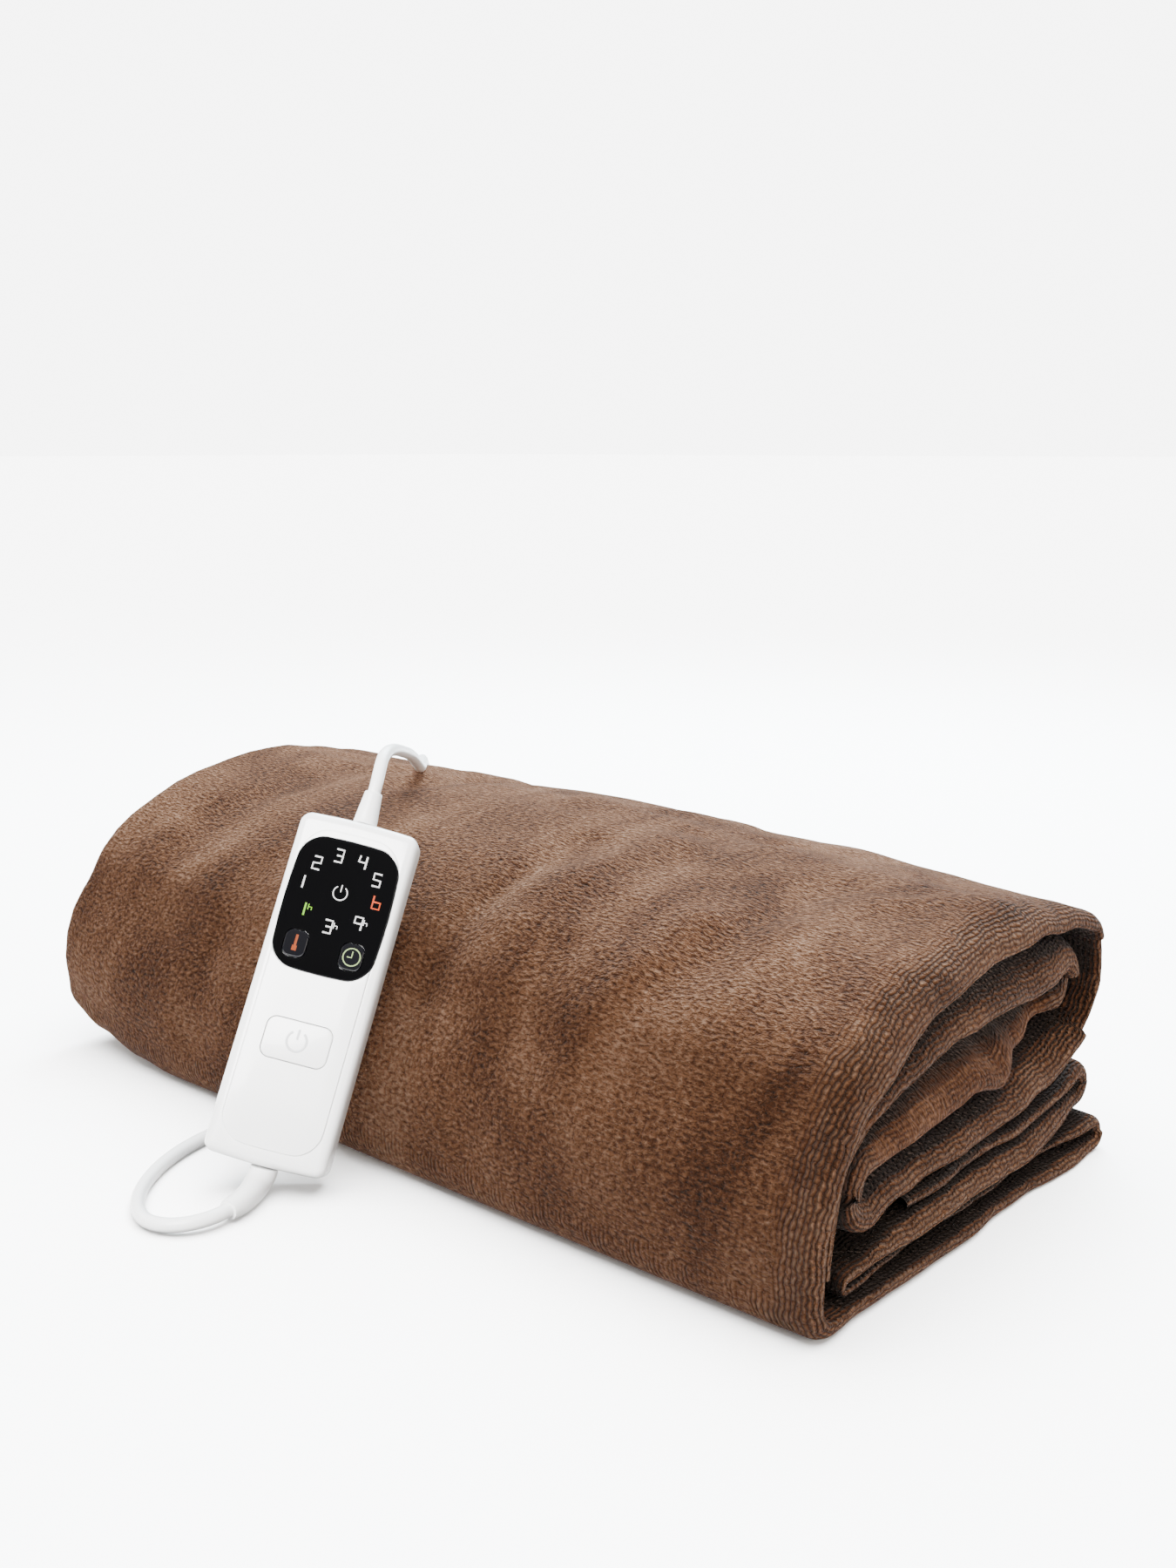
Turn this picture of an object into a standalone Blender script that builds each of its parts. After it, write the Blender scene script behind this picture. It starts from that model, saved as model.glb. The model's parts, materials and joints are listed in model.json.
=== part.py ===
"""An electric heated throw, folded into a bundle, with its handset leaning on the front.

Metres. X runs along the bundle, Y from its front to its back, Z up from the surface it lies on.
The throw is one band of cloth: it is folded in three along X, and that band is folded back and
forth across Y, so each section across X is the same folded path, warped a little from one end of
the bundle to the other. The handset has a frame of its own: x across its face, y from the face
to the back, z along it towards the lead that feeds the throw.
"""

from collections import namedtuple
from math import ceil, cos, degrees, hypot, pi, radians, sin, sqrt, tan

import bmesh
import bpy
from mathutils import Euler, Matrix, Vector

GAP = 0.0003  # between pieces that touch

# The bundle.
LEFT_END = -0.217
RIGHT_END = 0.205
LIP_DEPTH = 0.0070  # the folded edges at both ends round over within this depth
LIP_STEPS = (0.0, 0.0008, 0.0026, 0.0070)
LIP_THINNEST = 0.3  # of the band's thickness, at the very edge
RECESS_LENGTH = 0.05  # a recessed layer draws back over this length before the right end
PRESSED_HEIGHT = 0.120  # the lift under the left end has died out at this height
TENT_HEIGHT = 0.060  # and the tent over the lead at this one

# The folded path, from the hem that ends inside the front to the hem that ends above it. A row is
# a fold or a bend of the band: where its two runs would meet, the radius of the bend, the band's
# thickness there, and how far its lip stands short of the right end.
Fold = namedtuple("Fold", "y z bend thick short")
FOLDS = (
    Fold(-0.0400, 0.0258, 0.000, 0.0060, 0.006),  # hem, inside the lower stack
    Fold(0.0500, 0.0262, 0.060, 0.0066, 0.006),
    Fold(0.0730, 0.0278, 0.030, 0.0062, 0.006),
    Fold(0.1030, 0.0340, 0.0060, 0.0106, 0.006),  # upper round fold at the back
    Fold(0.1030, 0.0214, 0.0060, 0.0106, 0.006),
    Fold(0.0740, 0.0204, 0.030, 0.0070, 0.005),
    Fold(0.0500, 0.0183, 0.060, 0.0064, 0.004),
    Fold(-0.0380, 0.0178, 0.060, 0.0060, 0.003),
    Fold(-0.0830, 0.0154, 0.0026, 0.0046, 0.003),  # fold inside the front
    Fold(-0.0830, 0.0101, 0.0026, 0.0046, 0.003),
    Fold(-0.0400, 0.0110, 0.060, 0.0058, 0.002),
    Fold(0.0600, 0.0111, 0.060, 0.0060, 0.002),
    Fold(0.1040, 0.0119, 0.0041, 0.0074, 0.001),  # lower round fold at the back
    Fold(0.1040, 0.0037, 0.0041, 0.0074, 0.000),
    Fold(-0.1040, 0.0037, 0.0044, 0.0074, 0.000),  # front edge on the surface
    Fold(-0.1020, 0.0450, 0.045, 0.0096, 0.000),  # front
    Fold(-0.0715, 0.0802, 0.045, 0.0178, 0.000),
    Fold(-0.0380, 0.0968, 0.080, 0.0170, 0.000),
    Fold(0.0180, 0.1052, 0.100, 0.0168, 0.000),  # top
    Fold(0.0480, 0.1032, 0.060, 0.0134, 0.001),
    Fold(0.0740, 0.0998, 0.040, 0.0100, 0.001),
    Fold(0.0970, 0.0940, 0.011, 0.0098, 0.001),  # top back edge
    Fold(0.1030, 0.0790, 0.030, 0.0094, 0.001),
    Fold(0.0990, 0.0600, 0.030, 0.0104, 0.001),  # back
    Fold(0.0880, 0.0505, 0.020, 0.0130, 0.002),
    Fold(0.0680, 0.0416, 0.040, 0.0180, 0.003),
    Fold(0.0430, 0.0394, 0.060, 0.0172, 0.003),
    Fold(0.0060, 0.0372, 0.080, 0.0138, 0.003),
    Fold(-0.0300, 0.0374, 0.080, 0.0132, 0.003),
    Fold(-0.0540, 0.0358, 0.030, 0.0150, 0.003),
    Fold(-0.0770, 0.0294, 0.0100, 0.0176, 0.003),  # big loop inside the front
    Fold(-0.0770, 0.0490, 0.0098, 0.0152, 0.003),
    Fold(-0.0500, 0.0537, 0.060, 0.0178, 0.004),
    Fold(-0.0110, 0.0565, 0.080, 0.0230, 0.004),
    Fold(0.0200, 0.0582, 0.080, 0.0238, 0.004),
    Fold(0.0480, 0.0612, 0.050, 0.0220, 0.005),
    Fold(0.0700, 0.0638, 0.030, 0.0150, 0.005),
    Fold(0.0868, 0.0680, 0.0084, 0.0156, 0.004),  # round fold inside the back
    Fold(0.0868, 0.0846, 0.0083, 0.0156, 0.003),
    Fold(0.0600, 0.0842, 0.050, 0.0184, 0.003),
    Fold(0.0100, 0.0832, 0.080, 0.0230, 0.003),
    Fold(-0.0300, 0.0780, 0.060, 0.0188, 0.003),
    Fold(-0.0520, 0.0722, 0.030, 0.0138, 0.003),
    Fold(-0.0705, 0.0661, 0.0120, 0.0096, 0.003),  # turns down inside the front
    Fold(-0.0866, 0.0536, 0.014, 0.0076, 0.003),
    Fold(-0.0924, 0.0360, 0.020, 0.0074, 0.003),
    Fold(-0.0936, 0.0200, 0.000, 0.0068, 0.003),  # hem, inside the front
)
BEND_STEP = radians(38)  # a bend takes a point for about each of these

# How the section changes along the bundle: the height, the reach of its front and of its back,
# as shares of the path above, and the lift of its underside.
Section = namedtuple("Section", "x height front back lift")
SECTIONS = (
    Section(-0.217, 1.125, 0.980, 0.965, 0.0150),
    Section(-0.195, 1.115, 0.992, 0.985, 0.0085),
    Section(-0.165, 1.106, 1.000, 0.995, 0.0025),
    Section(-0.140, 1.104, 1.000, 1.000, 0.0),
    Section(-0.100, 1.108, 0.998, 1.005, 0.0),
    Section(-0.035, 1.124, 0.992, 1.005, 0.0),
    Section(0.025, 1.118, 0.998, 1.000, 0.0),
    Section(0.080, 1.088, 1.002, 0.996, 0.0),
    Section(0.135, 1.056, 1.003, 1.002, 0.0),
    Section(0.182, 1.034, 1.001, 1.000, 0.0),
    Section(0.205, 1.012, 0.996, 0.995, 0.0),
)
# The soft tent where the bundle lies over the mains lead.
TENT_X = -0.074
TENT_HALF_WIDTH = 0.019
TENT_LIFT = 0.0092
TENT_STEPS = 2  # sections on each side of its middle
# The dent where the handset leans on the plump front: its middle, its reach and its depth.
DENT_X = -0.016
DENT_Z = 0.070
DENT_HALF_WIDTH = 0.085
DENT_HALF_HEIGHT = 0.060
DENT_DEPTH = 0.083  # as a share of the distance to the front

# The handset.
HANDSET_AT = (-0.0256, -0.1102, 0.0698)
HANDSET_TURN = (-25.65, 12.59, 34.02)  # degrees about X, Y and Z
HANDSET_WIDTH = 0.0485
HANDSET_LENGTH = 0.1352
FACE_Y = -0.0100
RAISED = 0.0005  # the middle of the face stands up by this much
PARTING_Y = -0.0040
BACK_Y = 0.0095
CORNER = 0.0050
END_BOW = 0.0010
Step = namedtuple("Step", "y narrower shorter")  # how much smaller each outline is than the widest
FRONT_STEPS = (
    Step(PARTING_Y - GAP, 0.0000, 0.0000),
    Step(-0.0062, 0.0000, 0.0000),
    Step(-0.0080, 0.0014, 0.0012),
    Step(-0.0092, 0.0042, 0.0034),
    Step(FACE_Y, 0.0078, 0.0066),
)
BACK_STEPS = (
    Step(PARTING_Y, 0.0004, 0.0004),
    Step(0.0010, 0.0020, 0.0012),
    Step(0.0056, 0.0052, 0.0034),
    Step(0.0082, 0.0092, 0.0070),
    Step(BACK_Y, 0.0150, 0.0130),
)

LENS_WIDTH = 0.0392
LENS_HEIGHT = 0.0514
LENS_Z = 0.0327
LENS_CORNER = 0.0085
LENS_END_BOW = 0.0011
LENS_SIDE_BOW = 0.0015
LENS_DEPTH = 0.0018
LENS_PROUD = 0.0003

POWER_KEY_WIDTH = 0.0262
POWER_KEY_HEIGHT = 0.0158
POWER_KEY_Z = -0.0208
SMALL_KEY_WIDTH = 0.0092
SMALL_KEY_HEIGHT = 0.0104
SMALL_KEY_Z = 0.0157
SMALL_KEY_X = 0.0113
KEY_PROUD = 0.0003
KEY_BODY = 0.0026
POWER_TRAVEL = 0.0008
SMALL_TRAVEL = 0.0005
KEY_FLOOR_ROOM = 0.0006  # left under a key that is pressed home

# The leads.
MAINS_DIAMETER = 0.0055
THROW_DIAMETER = 0.0052
TOP_RELIEF_LENGTH = 0.0135
TOP_RELIEF_RADII = (0.0047, 0.0036)
BOTTOM_RELIEF_RADII = (0.0048, 0.0040)
RELIEF_Y = -0.0020  # the reliefs' place on the ends of the handset
# The mains lead's relief bends from the end of the handset to the surface.
BOTTOM_RELIEF_ROUTE = (
    (-0.0168, -0.1496, 0.0054),
    (-0.0135, -0.1540, 0.0050),
    (-0.0080, -0.1606, 0.0049),
    (-0.0018, -0.1680, 0.0049),
)
MAINS_ROUTE = (
    (0.0052, -0.1805, 0.0066),
    (0.0047, -0.1868, 0.0070),
    (-0.0005, -0.1890, 0.0060),
    (-0.0110, -0.1884, 0.0042),
    (-0.0203, -0.1870, 0.0031),
    (-0.0361, -0.1825, 0.0029),
    (-0.0500, -0.1743, 0.0029),
    (-0.0616, -0.1637, 0.0029),
    (-0.0700, -0.1525, 0.0029),
    (-0.0752, -0.1390, 0.0029),
    (-0.0763, -0.1220, 0.0029),
    (-0.0745, -0.1000, 0.0029),
    (-0.0740, -0.0500, 0.0029),
    (-0.0740, 0.0000, 0.0029),
    (-0.0740, 0.0600, 0.0029),
    (-0.0738, 0.1080, 0.0029),
    (-0.0700, 0.1270, 0.0029),
    (-0.0620, 0.1420, 0.0029),
    (-0.0579, 0.1547, 0.0029),
)
COIL_AT = (-0.0220, 0.1760)
COIL_RADIUS = 0.0310  # at the middle of its turns
COIL_COLUMNS = 3
COIL_ROWS = 2
TAIL_ROUTE = (
    (0.0612, 0.1950, 0.0100),
    (0.0572, 0.1950, 0.0098),
    (0.0500, 0.1962, 0.0080),
    (0.0400, 0.1998, 0.0046),
    (0.0270, 0.2060, 0.0031),
    (0.0130, 0.2110, 0.0052),
    (-0.0003, 0.2122, 0.0086),
)
THROW_ROUTE = (
    (-0.0380, -0.0610, 0.1555),
    (-0.0475, -0.0470, 0.1560),
    (-0.0620, -0.0270, 0.1508),
    (-0.0810, -0.0040, 0.1430),
    (-0.1020, 0.0190, 0.1348),
    (-0.1230, 0.0400, 0.1308),
    (-0.1440, 0.0600, 0.1275),
    (-0.1640, 0.0790, 0.1230),
    (-0.1820, 0.0970, 0.1140),
    (-0.1940, 0.1110, 0.1000),
    (-0.2000, 0.1190, 0.0800),
    (-0.2000, 0.1215, 0.0560),
    (-0.1965, 0.1210, 0.0320),
    (-0.1860, 0.1205, 0.0150),
    (-0.1700, 0.1186, 0.0080),
    (-0.1530, 0.1176, 0.0073),
)

CONNECTOR_SIZE = (0.0460, 0.0180, 0.0140)
CONNECTOR_LEFT = -0.1526
CONNECTOR_FRONT = 0.1086
CONNECTOR_EDGE = 0.003

# The plug lies on its back. Its pins are those of a fused three-pin plug.
PLUG_AT = (0.0615, 0.1950)  # the middle of the side that the lead enters
PLUG_LENGTH = 0.0460
PLUG_WIDTH = 0.0500
PLUG_NECK = 0.0260
PLUG_THICKNESS = 0.0220
PIN_THICKNESS = 0.0040
PIN_ROOT = 0.0030
Pin = namedtuple("Pin", "name x y width length")
PINS = (
    Pin("pin_line", 0.0130, -0.0111, 0.00635, 0.0177),
    Pin("pin_neutral", 0.0130, 0.0111, 0.00635, 0.0177),
    Pin("pin_earth", 0.0352, 0.0000, 0.0080, 0.0227),
)

TUBE_SPACING = 2.6  # diameters between the points of a tube
SMOOTHING = 12  # curve points between two route points, before they are spaced evenly


def clear_scene():
    for thing in list(bpy.data.objects):
        bpy.data.objects.remove(thing, do_unlink=True)


def material(name, colour, roughness, metallic=0.0):
    made = bpy.data.materials.new(name)
    made.use_nodes = True
    shader = made.node_tree.nodes["Principled BSDF"]
    shader.inputs["Base Color"].default_value = (*colour, 1.0)
    shader.inputs["Roughness"].default_value = roughness
    shader.inputs["Metallic"].default_value = metallic
    return made


def add_object(name, data, finish, parent=None):
    piece = bpy.data.objects.new(name, data)
    data.materials.append(finish)
    bpy.context.scene.collection.objects.link(piece)
    piece.parent = parent
    return piece


def add_mesh(name, corners, faces, finish, parent=None):
    mesh = bpy.data.meshes.new(name)
    mesh.from_pydata([tuple(corner) for corner in corners], [], faces)
    shape = bmesh.new()
    shape.from_mesh(mesh)
    bmesh.ops.recalc_face_normals(shape, faces=shape.faces)
    shape.to_mesh(mesh)
    shape.free()
    mesh.shade_smooth()
    mesh.set_sharp_from_angle(angle=radians(35))
    return add_object(name, mesh, finish, parent)


def loft(name, rings, finish, parent=None):
    """A closed solid through rings of equally many points, with a flat cap at each end."""
    count = len(rings[0])
    corners = [point for ring in rings for point in ring]
    faces = [tuple(range(count)), tuple(range(len(corners) - count, len(corners)))]
    for ring in range(len(rings) - 1):
        for i in range(count):
            near = ring * count
            j = (i + 1) % count
            faces.append((near + i, near + j, near + count + j, near + count + i))
    return add_mesh(name, corners, faces, finish, parent)


def cut(piece, cutter):
    """Takes the cutter's shape out of the piece."""
    cutter.hide_render = True
    cutter.display_type = "WIRE"
    pocket = piece.modifiers.new(cutter.name, "BOOLEAN")
    pocket.operation = "DIFFERENCE"
    pocket.object = cutter


# The throw.


def bend_points(before, at, after):
    """The round bend at one fold, as (y, z) points."""
    here = Vector((at.y, at.z))
    arrive = (here - Vector((before.y, before.z))).normalized()
    leave = (Vector((after.y, after.z)) - here).normalized()
    turn = arrive.angle(leave)
    start = here - arrive * at.bend * tan(turn / 2)
    inward = (leave - arrive * cos(turn)) / sin(turn)
    steps = ceil(turn / BEND_STEP)
    angles = [turn * k / steps for k in range(steps + 1)]
    return [start + at.bend * (arrive * sin(a) + inward * (1 - cos(a))) for a in angles]


def folded_path():
    """The band's middle line as rows of (y, z), thickness and recess."""
    rows = [(Vector((FOLDS[0].y, FOLDS[0].z)), FOLDS[0].thick, FOLDS[0].short)]
    for before, at, after in zip(FOLDS, FOLDS[1:], FOLDS[2:]):
        rows += [(point, at.thick, at.short) for point in bend_points(before, at, after)]
    rows.append((Vector((FOLDS[-1].y, FOLDS[-1].z)), FOLDS[-1].thick, FOLDS[-1].short))
    kept = rows[:1]
    for row in rows[1:]:
        if (row[0] - kept[-1][0]).length > 0.0004:
            kept.append(row)
    return kept


def band_outline(path):
    """Both faces of the band round its path: (middle, offset to the face, recess) for each corner."""
    one_face = []
    other_face = []
    for i, (middle, thick, short) in enumerate(path):
        along = (path[min(i + 1, len(path) - 1)][0] - path[max(i - 1, 0)][0]).normalized()
        across = Vector((-along.y, along.x)) * thick / 2
        one_face.append((middle, across, short))
        other_face.append((middle, -across, short))
    return one_face, other_face


def between(rows, x, column):
    """A column of a table of sections at x, eased from row to row."""
    for low, high in zip(rows, rows[1:]):
        if x <= high.x:
            share = min(max((x - low.x) / (high.x - low.x), 0.0), 1.0)
            share = share * share * (3 - 2 * share)
            return getattr(low, column) * (1 - share) + getattr(high, column) * share
    return getattr(rows[-1], column)


def swell(away):
    """A smooth swelling: 1 in the middle, 0 from 1 away on either side."""
    return 0.5 + 0.5 * cos(pi * away) if abs(away) < 1 else 0.0


def warped(x, y, z):
    """A point of the path's section, moved to the section at x."""
    side = "front" if y < 0 else "back"
    raised = z * between(SECTIONS, x, "height")
    raised += between(SECTIONS, x, "lift") * max(0.0, 1 - z / PRESSED_HEIGHT)
    raised += TENT_LIFT * swell((x - TENT_X) / TENT_HALF_WIDTH) * max(0.0, 1 - z / TENT_HEIGHT)
    reach = between(SECTIONS, x, side)
    if y < 0:
        reach -= DENT_DEPTH * swell((x - DENT_X) / DENT_HALF_WIDTH) * swell((z - DENT_Z) / DENT_HALF_HEIGHT)
    return y * reach, raised


def lip_share(depth):
    """The band's thickness at this depth from its folded edge, as a share of the full one."""
    away = 1 - min(depth / LIP_DEPTH, 1.0)
    return LIP_THINNEST + (1 - LIP_THINNEST) * sqrt(max(0.0, 1 - away * away))


def throw_sections():
    """The X of each section: the rounded ends, the table's rows and the tent."""
    ends = [LEFT_END + step for step in LIP_STEPS] + [RIGHT_END - step for step in LIP_STEPS]
    rows = [row.x for row in SECTIONS[1:-1]]
    rows = [x for x in rows if abs(x - TENT_X) > TENT_HALF_WIDTH * 1.2]
    tents = [TENT_X + TENT_HALF_WIDTH * k / TENT_STEPS for k in range(-TENT_STEPS, TENT_STEPS + 1)]
    return sorted(ends + rows + tents)


def make_throw(finish):
    """The whole folded throw, as one solid."""
    one_face, other_face = band_outline(folded_path())
    length = len(one_face)
    outline = one_face + other_face[::-1]
    sections = throw_sections()
    corners = []
    for x in sections:
        share = lip_share(min(x - LEFT_END, RIGHT_END - x))
        drawn = max(0.0, 1 - (RIGHT_END - x) / RECESS_LENGTH)
        for middle, across, short in outline:
            y, z = warped(x, *(middle + across * share))
            corners.append((x - short * drawn, y, z))
    count = len(outline)
    faces = []
    for section in range(len(sections) - 1):
        near = section * count
        for i in range(count):
            j = (i + 1) % count
            faces.append((near + i, near + j, near + count + j, near + count + i))
    for near in (0, len(corners) - count):
        for i in range(length - 1):
            faces.append((near + i, near + i + 1, near + count - 2 - i, near + count - 1 - i))
    return add_mesh("throw", corners, faces, finish)


# The handset.


def outline(width, height, corner, end_bow=0.0, side_bow=0.0, corner_steps=4, edge_steps=6):
    """A rectangle with round corners and bowed edges, as (x, z) points."""
    points = []
    for quarter, (across, up) in enumerate(((1, 1), (-1, 1), (-1, -1), (1, -1))):
        middle = Vector((across * (width / 2 - corner), up * (height / 2 - corner)))
        for k in range(corner_steps + 1):
            angle = pi / 2 * (quarter + k / corner_steps)
            points.append(middle + corner * Vector((cos(angle), sin(angle))))
        start = points[-1]
        flat = (width if quarter % 2 == 0 else height) - 2 * corner
        run = Vector((-1, 0)) if quarter == 0 else Vector((0, -1)) if quarter == 1 else None
        run = run or (Vector((1, 0)) if quarter == 2 else Vector((0, 1)))
        points += [start + run * flat * k / edge_steps for k in range(1, edge_steps)]
    for point in points:
        end = end_bow * (1 - (2 * point.x / width) ** 2)
        side = side_bow * (1 - (2 * point.y / height) ** 2)
        point.y += end * (2 * point.y / height) ** 3
        point.x += side * (2 * point.x / width)
    return points


def slab(name, outlines, finish, parent, at=(0.0, 0.0)):
    """A solid through outlines in planes of constant y, each given as (points, y)."""
    rings = [[(p.x + at[0], y, p.y + at[1]) for p in points] for points, y in outlines]
    return loft(name, rings, finish, parent)


def handset_outline(step, corner=CORNER):
    corner = max(0.002, corner - step.narrower / 4)
    return outline(HANDSET_WIDTH - step.narrower, HANDSET_LENGTH - step.shorter, corner, END_BOW)


def lens_outline(grow=0.0):
    return outline(
        LENS_WIDTH + 2 * grow,
        LENS_HEIGHT + 2 * grow,
        LENS_CORNER + grow,
        LENS_END_BOW,
        LENS_SIDE_BOW,
    )


def key_slab(name, width, height, corner, front, finish, parent, at, grow=0.0):
    """A key with its edge eased, standing at its own place in the handset's frame."""
    size = width + 2 * grow, height + 2 * grow
    full = outline(*size, corner + grow, edge_steps=2)
    eased = outline(size[0] - 0.001, size[1] - 0.001, corner + grow - 0.0004, edge_steps=2)
    key = slab(name, [(full, KEY_BODY), (full, 0.0004), (eased, 0.0)], finish, parent)
    key.location = (at[0], front, at[1])
    return key


def key_pocket(name, width, height, corner, top, floor, finish, parent, at):
    full = outline(width + 2 * GAP, height + 2 * GAP, corner + GAP, edge_steps=2)
    return slab(name, [(full, top), (full, floor)], finish, parent, at)


def make_handset(shell, glass, key):
    """The housing's two halves, the display lens and the three keys that press in."""
    frame = bpy.data.objects.new("handset_frame", None)
    bpy.context.scene.collection.objects.link(frame)
    frame.location = HANDSET_AT
    frame.rotation_euler = Euler([radians(turn) for turn in HANDSET_TURN], "XYZ")

    slab("handset_back", [(handset_outline(s), s.y) for s in BACK_STEPS], shell, frame)
    widest = FRONT_STEPS[-1]
    panel = outline(
        HANDSET_WIDTH - widest.narrower - 0.0012,
        HANDSET_LENGTH - widest.shorter - 0.0060,
        0.0100,
        END_BOW,
    )
    rings = [(handset_outline(s), s.y) for s in FRONT_STEPS]
    rings += [(panel, FACE_Y - RAISED * 0.2), (panel, FACE_Y - RAISED)]
    front = slab("handset_front", rings, shell, frame)

    face = FACE_Y - RAISED
    lens_front = face - LENS_PROUD
    lens_back = lens_front + LENS_DEPTH
    above = face - 0.002
    lens_at = (0.0, LENS_Z)
    pocket = [(lens_outline(GAP), above), (lens_outline(GAP), lens_back + GAP)]
    cut(front, slab("lens_pocket", pocket, shell, frame, lens_at))
    small_size = SMALL_KEY_WIDTH, SMALL_KEY_HEIGHT, 0.0030
    power_size = POWER_KEY_WIDTH, POWER_KEY_HEIGHT, 0.0038
    key_front = face - KEY_PROUD
    power_floor = key_front + KEY_BODY + POWER_TRAVEL + KEY_FLOOR_ROOM
    power_at = (0.0, POWER_KEY_Z)
    cut(front, key_pocket("power_pocket", *power_size, above, power_floor, shell, frame, power_at))

    eased = outline(LENS_WIDTH - 0.0008, LENS_HEIGHT - 0.0008, LENS_CORNER, LENS_END_BOW, LENS_SIDE_BOW)
    rings = [(lens_outline(), lens_back), (lens_outline(), face), (eased, lens_front)]
    lens = slab("display_lens", rings, glass, frame, lens_at)
    small_front = lens_front - KEY_PROUD
    small_floor = small_front + KEY_BODY + SMALL_TRAVEL + KEY_FLOOR_ROOM
    for name, side in (("heat_key", -1), ("timer_key", 1)):
        at = (side * SMALL_KEY_X, SMALL_KEY_Z)
        cut(front, key_pocket(name + "_pocket", *small_size, above, small_floor, shell, frame, at))
        cut(lens, key_pocket(name + "_hole", *small_size, above, lens_back + 0.001, glass, frame, at))
        key_slab(name, *small_size, small_front, glass, frame, at)
    key_slab("power_key", *power_size, key_front, key, frame, power_at)
    return frame


# The leads.


def curve_tube(name, points, radii, finish, bevel_resolution):
    """A round tube along the points, with its radius at each."""
    line = bpy.data.curves.new(name, "CURVE")
    line.dimensions = "3D"
    line.bevel_depth = radii[0]
    line.bevel_resolution = bevel_resolution
    line.use_fill_caps = True
    spline = line.splines.new("POLY")
    spline.points.add(len(points) - 1)
    for place, point, radius in zip(spline.points, points, radii):
        place.co = (*point, 1.0)
        place.radius = radius / radii[0]
    return add_object(name, line, finish)


def smooth_line(route):
    """Many points on a smooth curve through the route's own points."""
    route = [Vector(point) for point in route]
    ends = [route[0] * 2 - route[1], *route, route[-1] * 2 - route[-2]]
    points = []
    for a, b, c, d in zip(ends, ends[1:], ends[2:], ends[3:]):
        for k in range(SMOOTHING):
            t = k / SMOOTHING
            bend = (a * 2 - b * 5 + c * 4 - d) * t * t + (b * 3 - a - c * 3 + d) * t ** 3
            points.append((b * 2 + (c - a) * t + bend) / 2)
    return points + [route[-1]]


def spaced(points, spacing):
    """The line again, with its points an even distance apart."""
    run = [0.0]
    for a, b in zip(points, points[1:]):
        run.append(run[-1] + (b - a).length)
    count = max(2, round(run[-1] / spacing))
    even = []
    i = 0
    for k in range(count + 1):
        at = run[-1] * k / count
        while i < len(run) - 2 and run[i + 1] < at:
            i += 1
        share = (at - run[i]) / (run[i + 1] - run[i])
        even.append(points[i].lerp(points[i + 1], min(share, 1.0)))
    return even


def make_lead(name, route, diameter, finish):
    line = smooth_line(route)
    points = line[:1] + spaced(line[SMOOTHING:], TUBE_SPACING * diameter)
    return curve_tube(name, points, [diameter / 2] * len(points), finish, 2)


def tapered(name, points, radii, finish):
    """A relief along the points, evenly narrower towards its tip."""
    last = len(points) - 1
    widths = [radii[0] + (radii[1] - radii[0]) * k / last for k in range(last + 1)]
    return curve_tube(name, points, widths, finish, 4)


def led_on(points, route):
    """A route that leaves the end of a line straight on, face to face with it."""
    onward = (points[-1] - points[-2]).normalized()
    return [points[-1] + onward * GAP, points[-1] + onward * 0.004, *route]


def make_leads(frame, finish):
    """The tapered reliefs at both ends of the handset, and the leads that go on from them."""
    bpy.context.view_layer.update()
    end = HANDSET_LENGTH / 2 + END_BOW + GAP
    reach = [end + TOP_RELIEF_LENGTH * k / 3 for k in range(4)]
    top = [frame.matrix_world @ Vector((0, RELIEF_Y, z)) for z in reach]
    tapered("throw_lead_relief", top, TOP_RELIEF_RADII, finish)
    start = [frame.matrix_world @ Vector((0, RELIEF_Y, z)) for z in (-end, -end - 0.0028)]
    bent = spaced(smooth_line(start + [Vector(p) for p in BOTTOM_RELIEF_ROUTE]), 0.0024)
    tapered("mains_lead_relief", bent, BOTTOM_RELIEF_RADII, finish)
    make_lead("mains_lead", led_on(bent, MAINS_ROUTE), MAINS_DIAMETER, finish)
    make_lead("mains_lead_tail", TAIL_ROUTE, MAINS_DIAMETER, finish)
    make_lead("throw_lead", led_on(top, THROW_ROUTE), THROW_DIAMETER, finish)


def make_coil(finish):
    """The wound-up mains lead, as the plain ring that its turns fill."""
    wide = COIL_COLUMNS * MAINS_DIAMETER / 2 + 0.0004
    high = COIL_ROWS * MAINS_DIAMETER + 0.0006
    section = outline(2 * wide, high, 0.0025, corner_steps=2, edge_steps=2)
    steps = 40
    corners = []
    for k in range(steps):
        angle = 2 * pi * k / steps
        for point in section:
            away = COIL_RADIUS + point.x
            corners.append(
                (COIL_AT[0] + away * cos(angle), COIL_AT[1] + away * sin(angle), high / 2 + point.y)
            )
    count = len(section)
    faces = []
    for k in range(steps):
        near = k * count
        far = (k + 1) % steps * count
        for i in range(count):
            j = (i + 1) % count
            faces.append((near + i, near + j, far + j, far + i))
    return add_mesh("mains_lead_coil", corners, faces, finish)


def make_connector(finish):
    """The connector at the throw's back, where its lead goes in."""
    long, wide, high = CONNECTOR_SIZE
    full = outline(wide, high, CONNECTOR_EDGE, corner_steps=3, edge_steps=2)
    small = outline(wide - 0.002, high - 0.002, CONNECTOR_EDGE - 0.001, corner_steps=3, edge_steps=2)
    y = CONNECTOR_FRONT + wide / 2
    z = high / 2 + GAP
    rings = []
    for points, x in ((small, 0.0), (full, 0.0015), (full, long - 0.0015), (small, long)):
        rings.append([(CONNECTOR_LEFT + x, y + p.x, z + p.y) for p in points])
    return loft("throw_connector", rings, finish)


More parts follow.
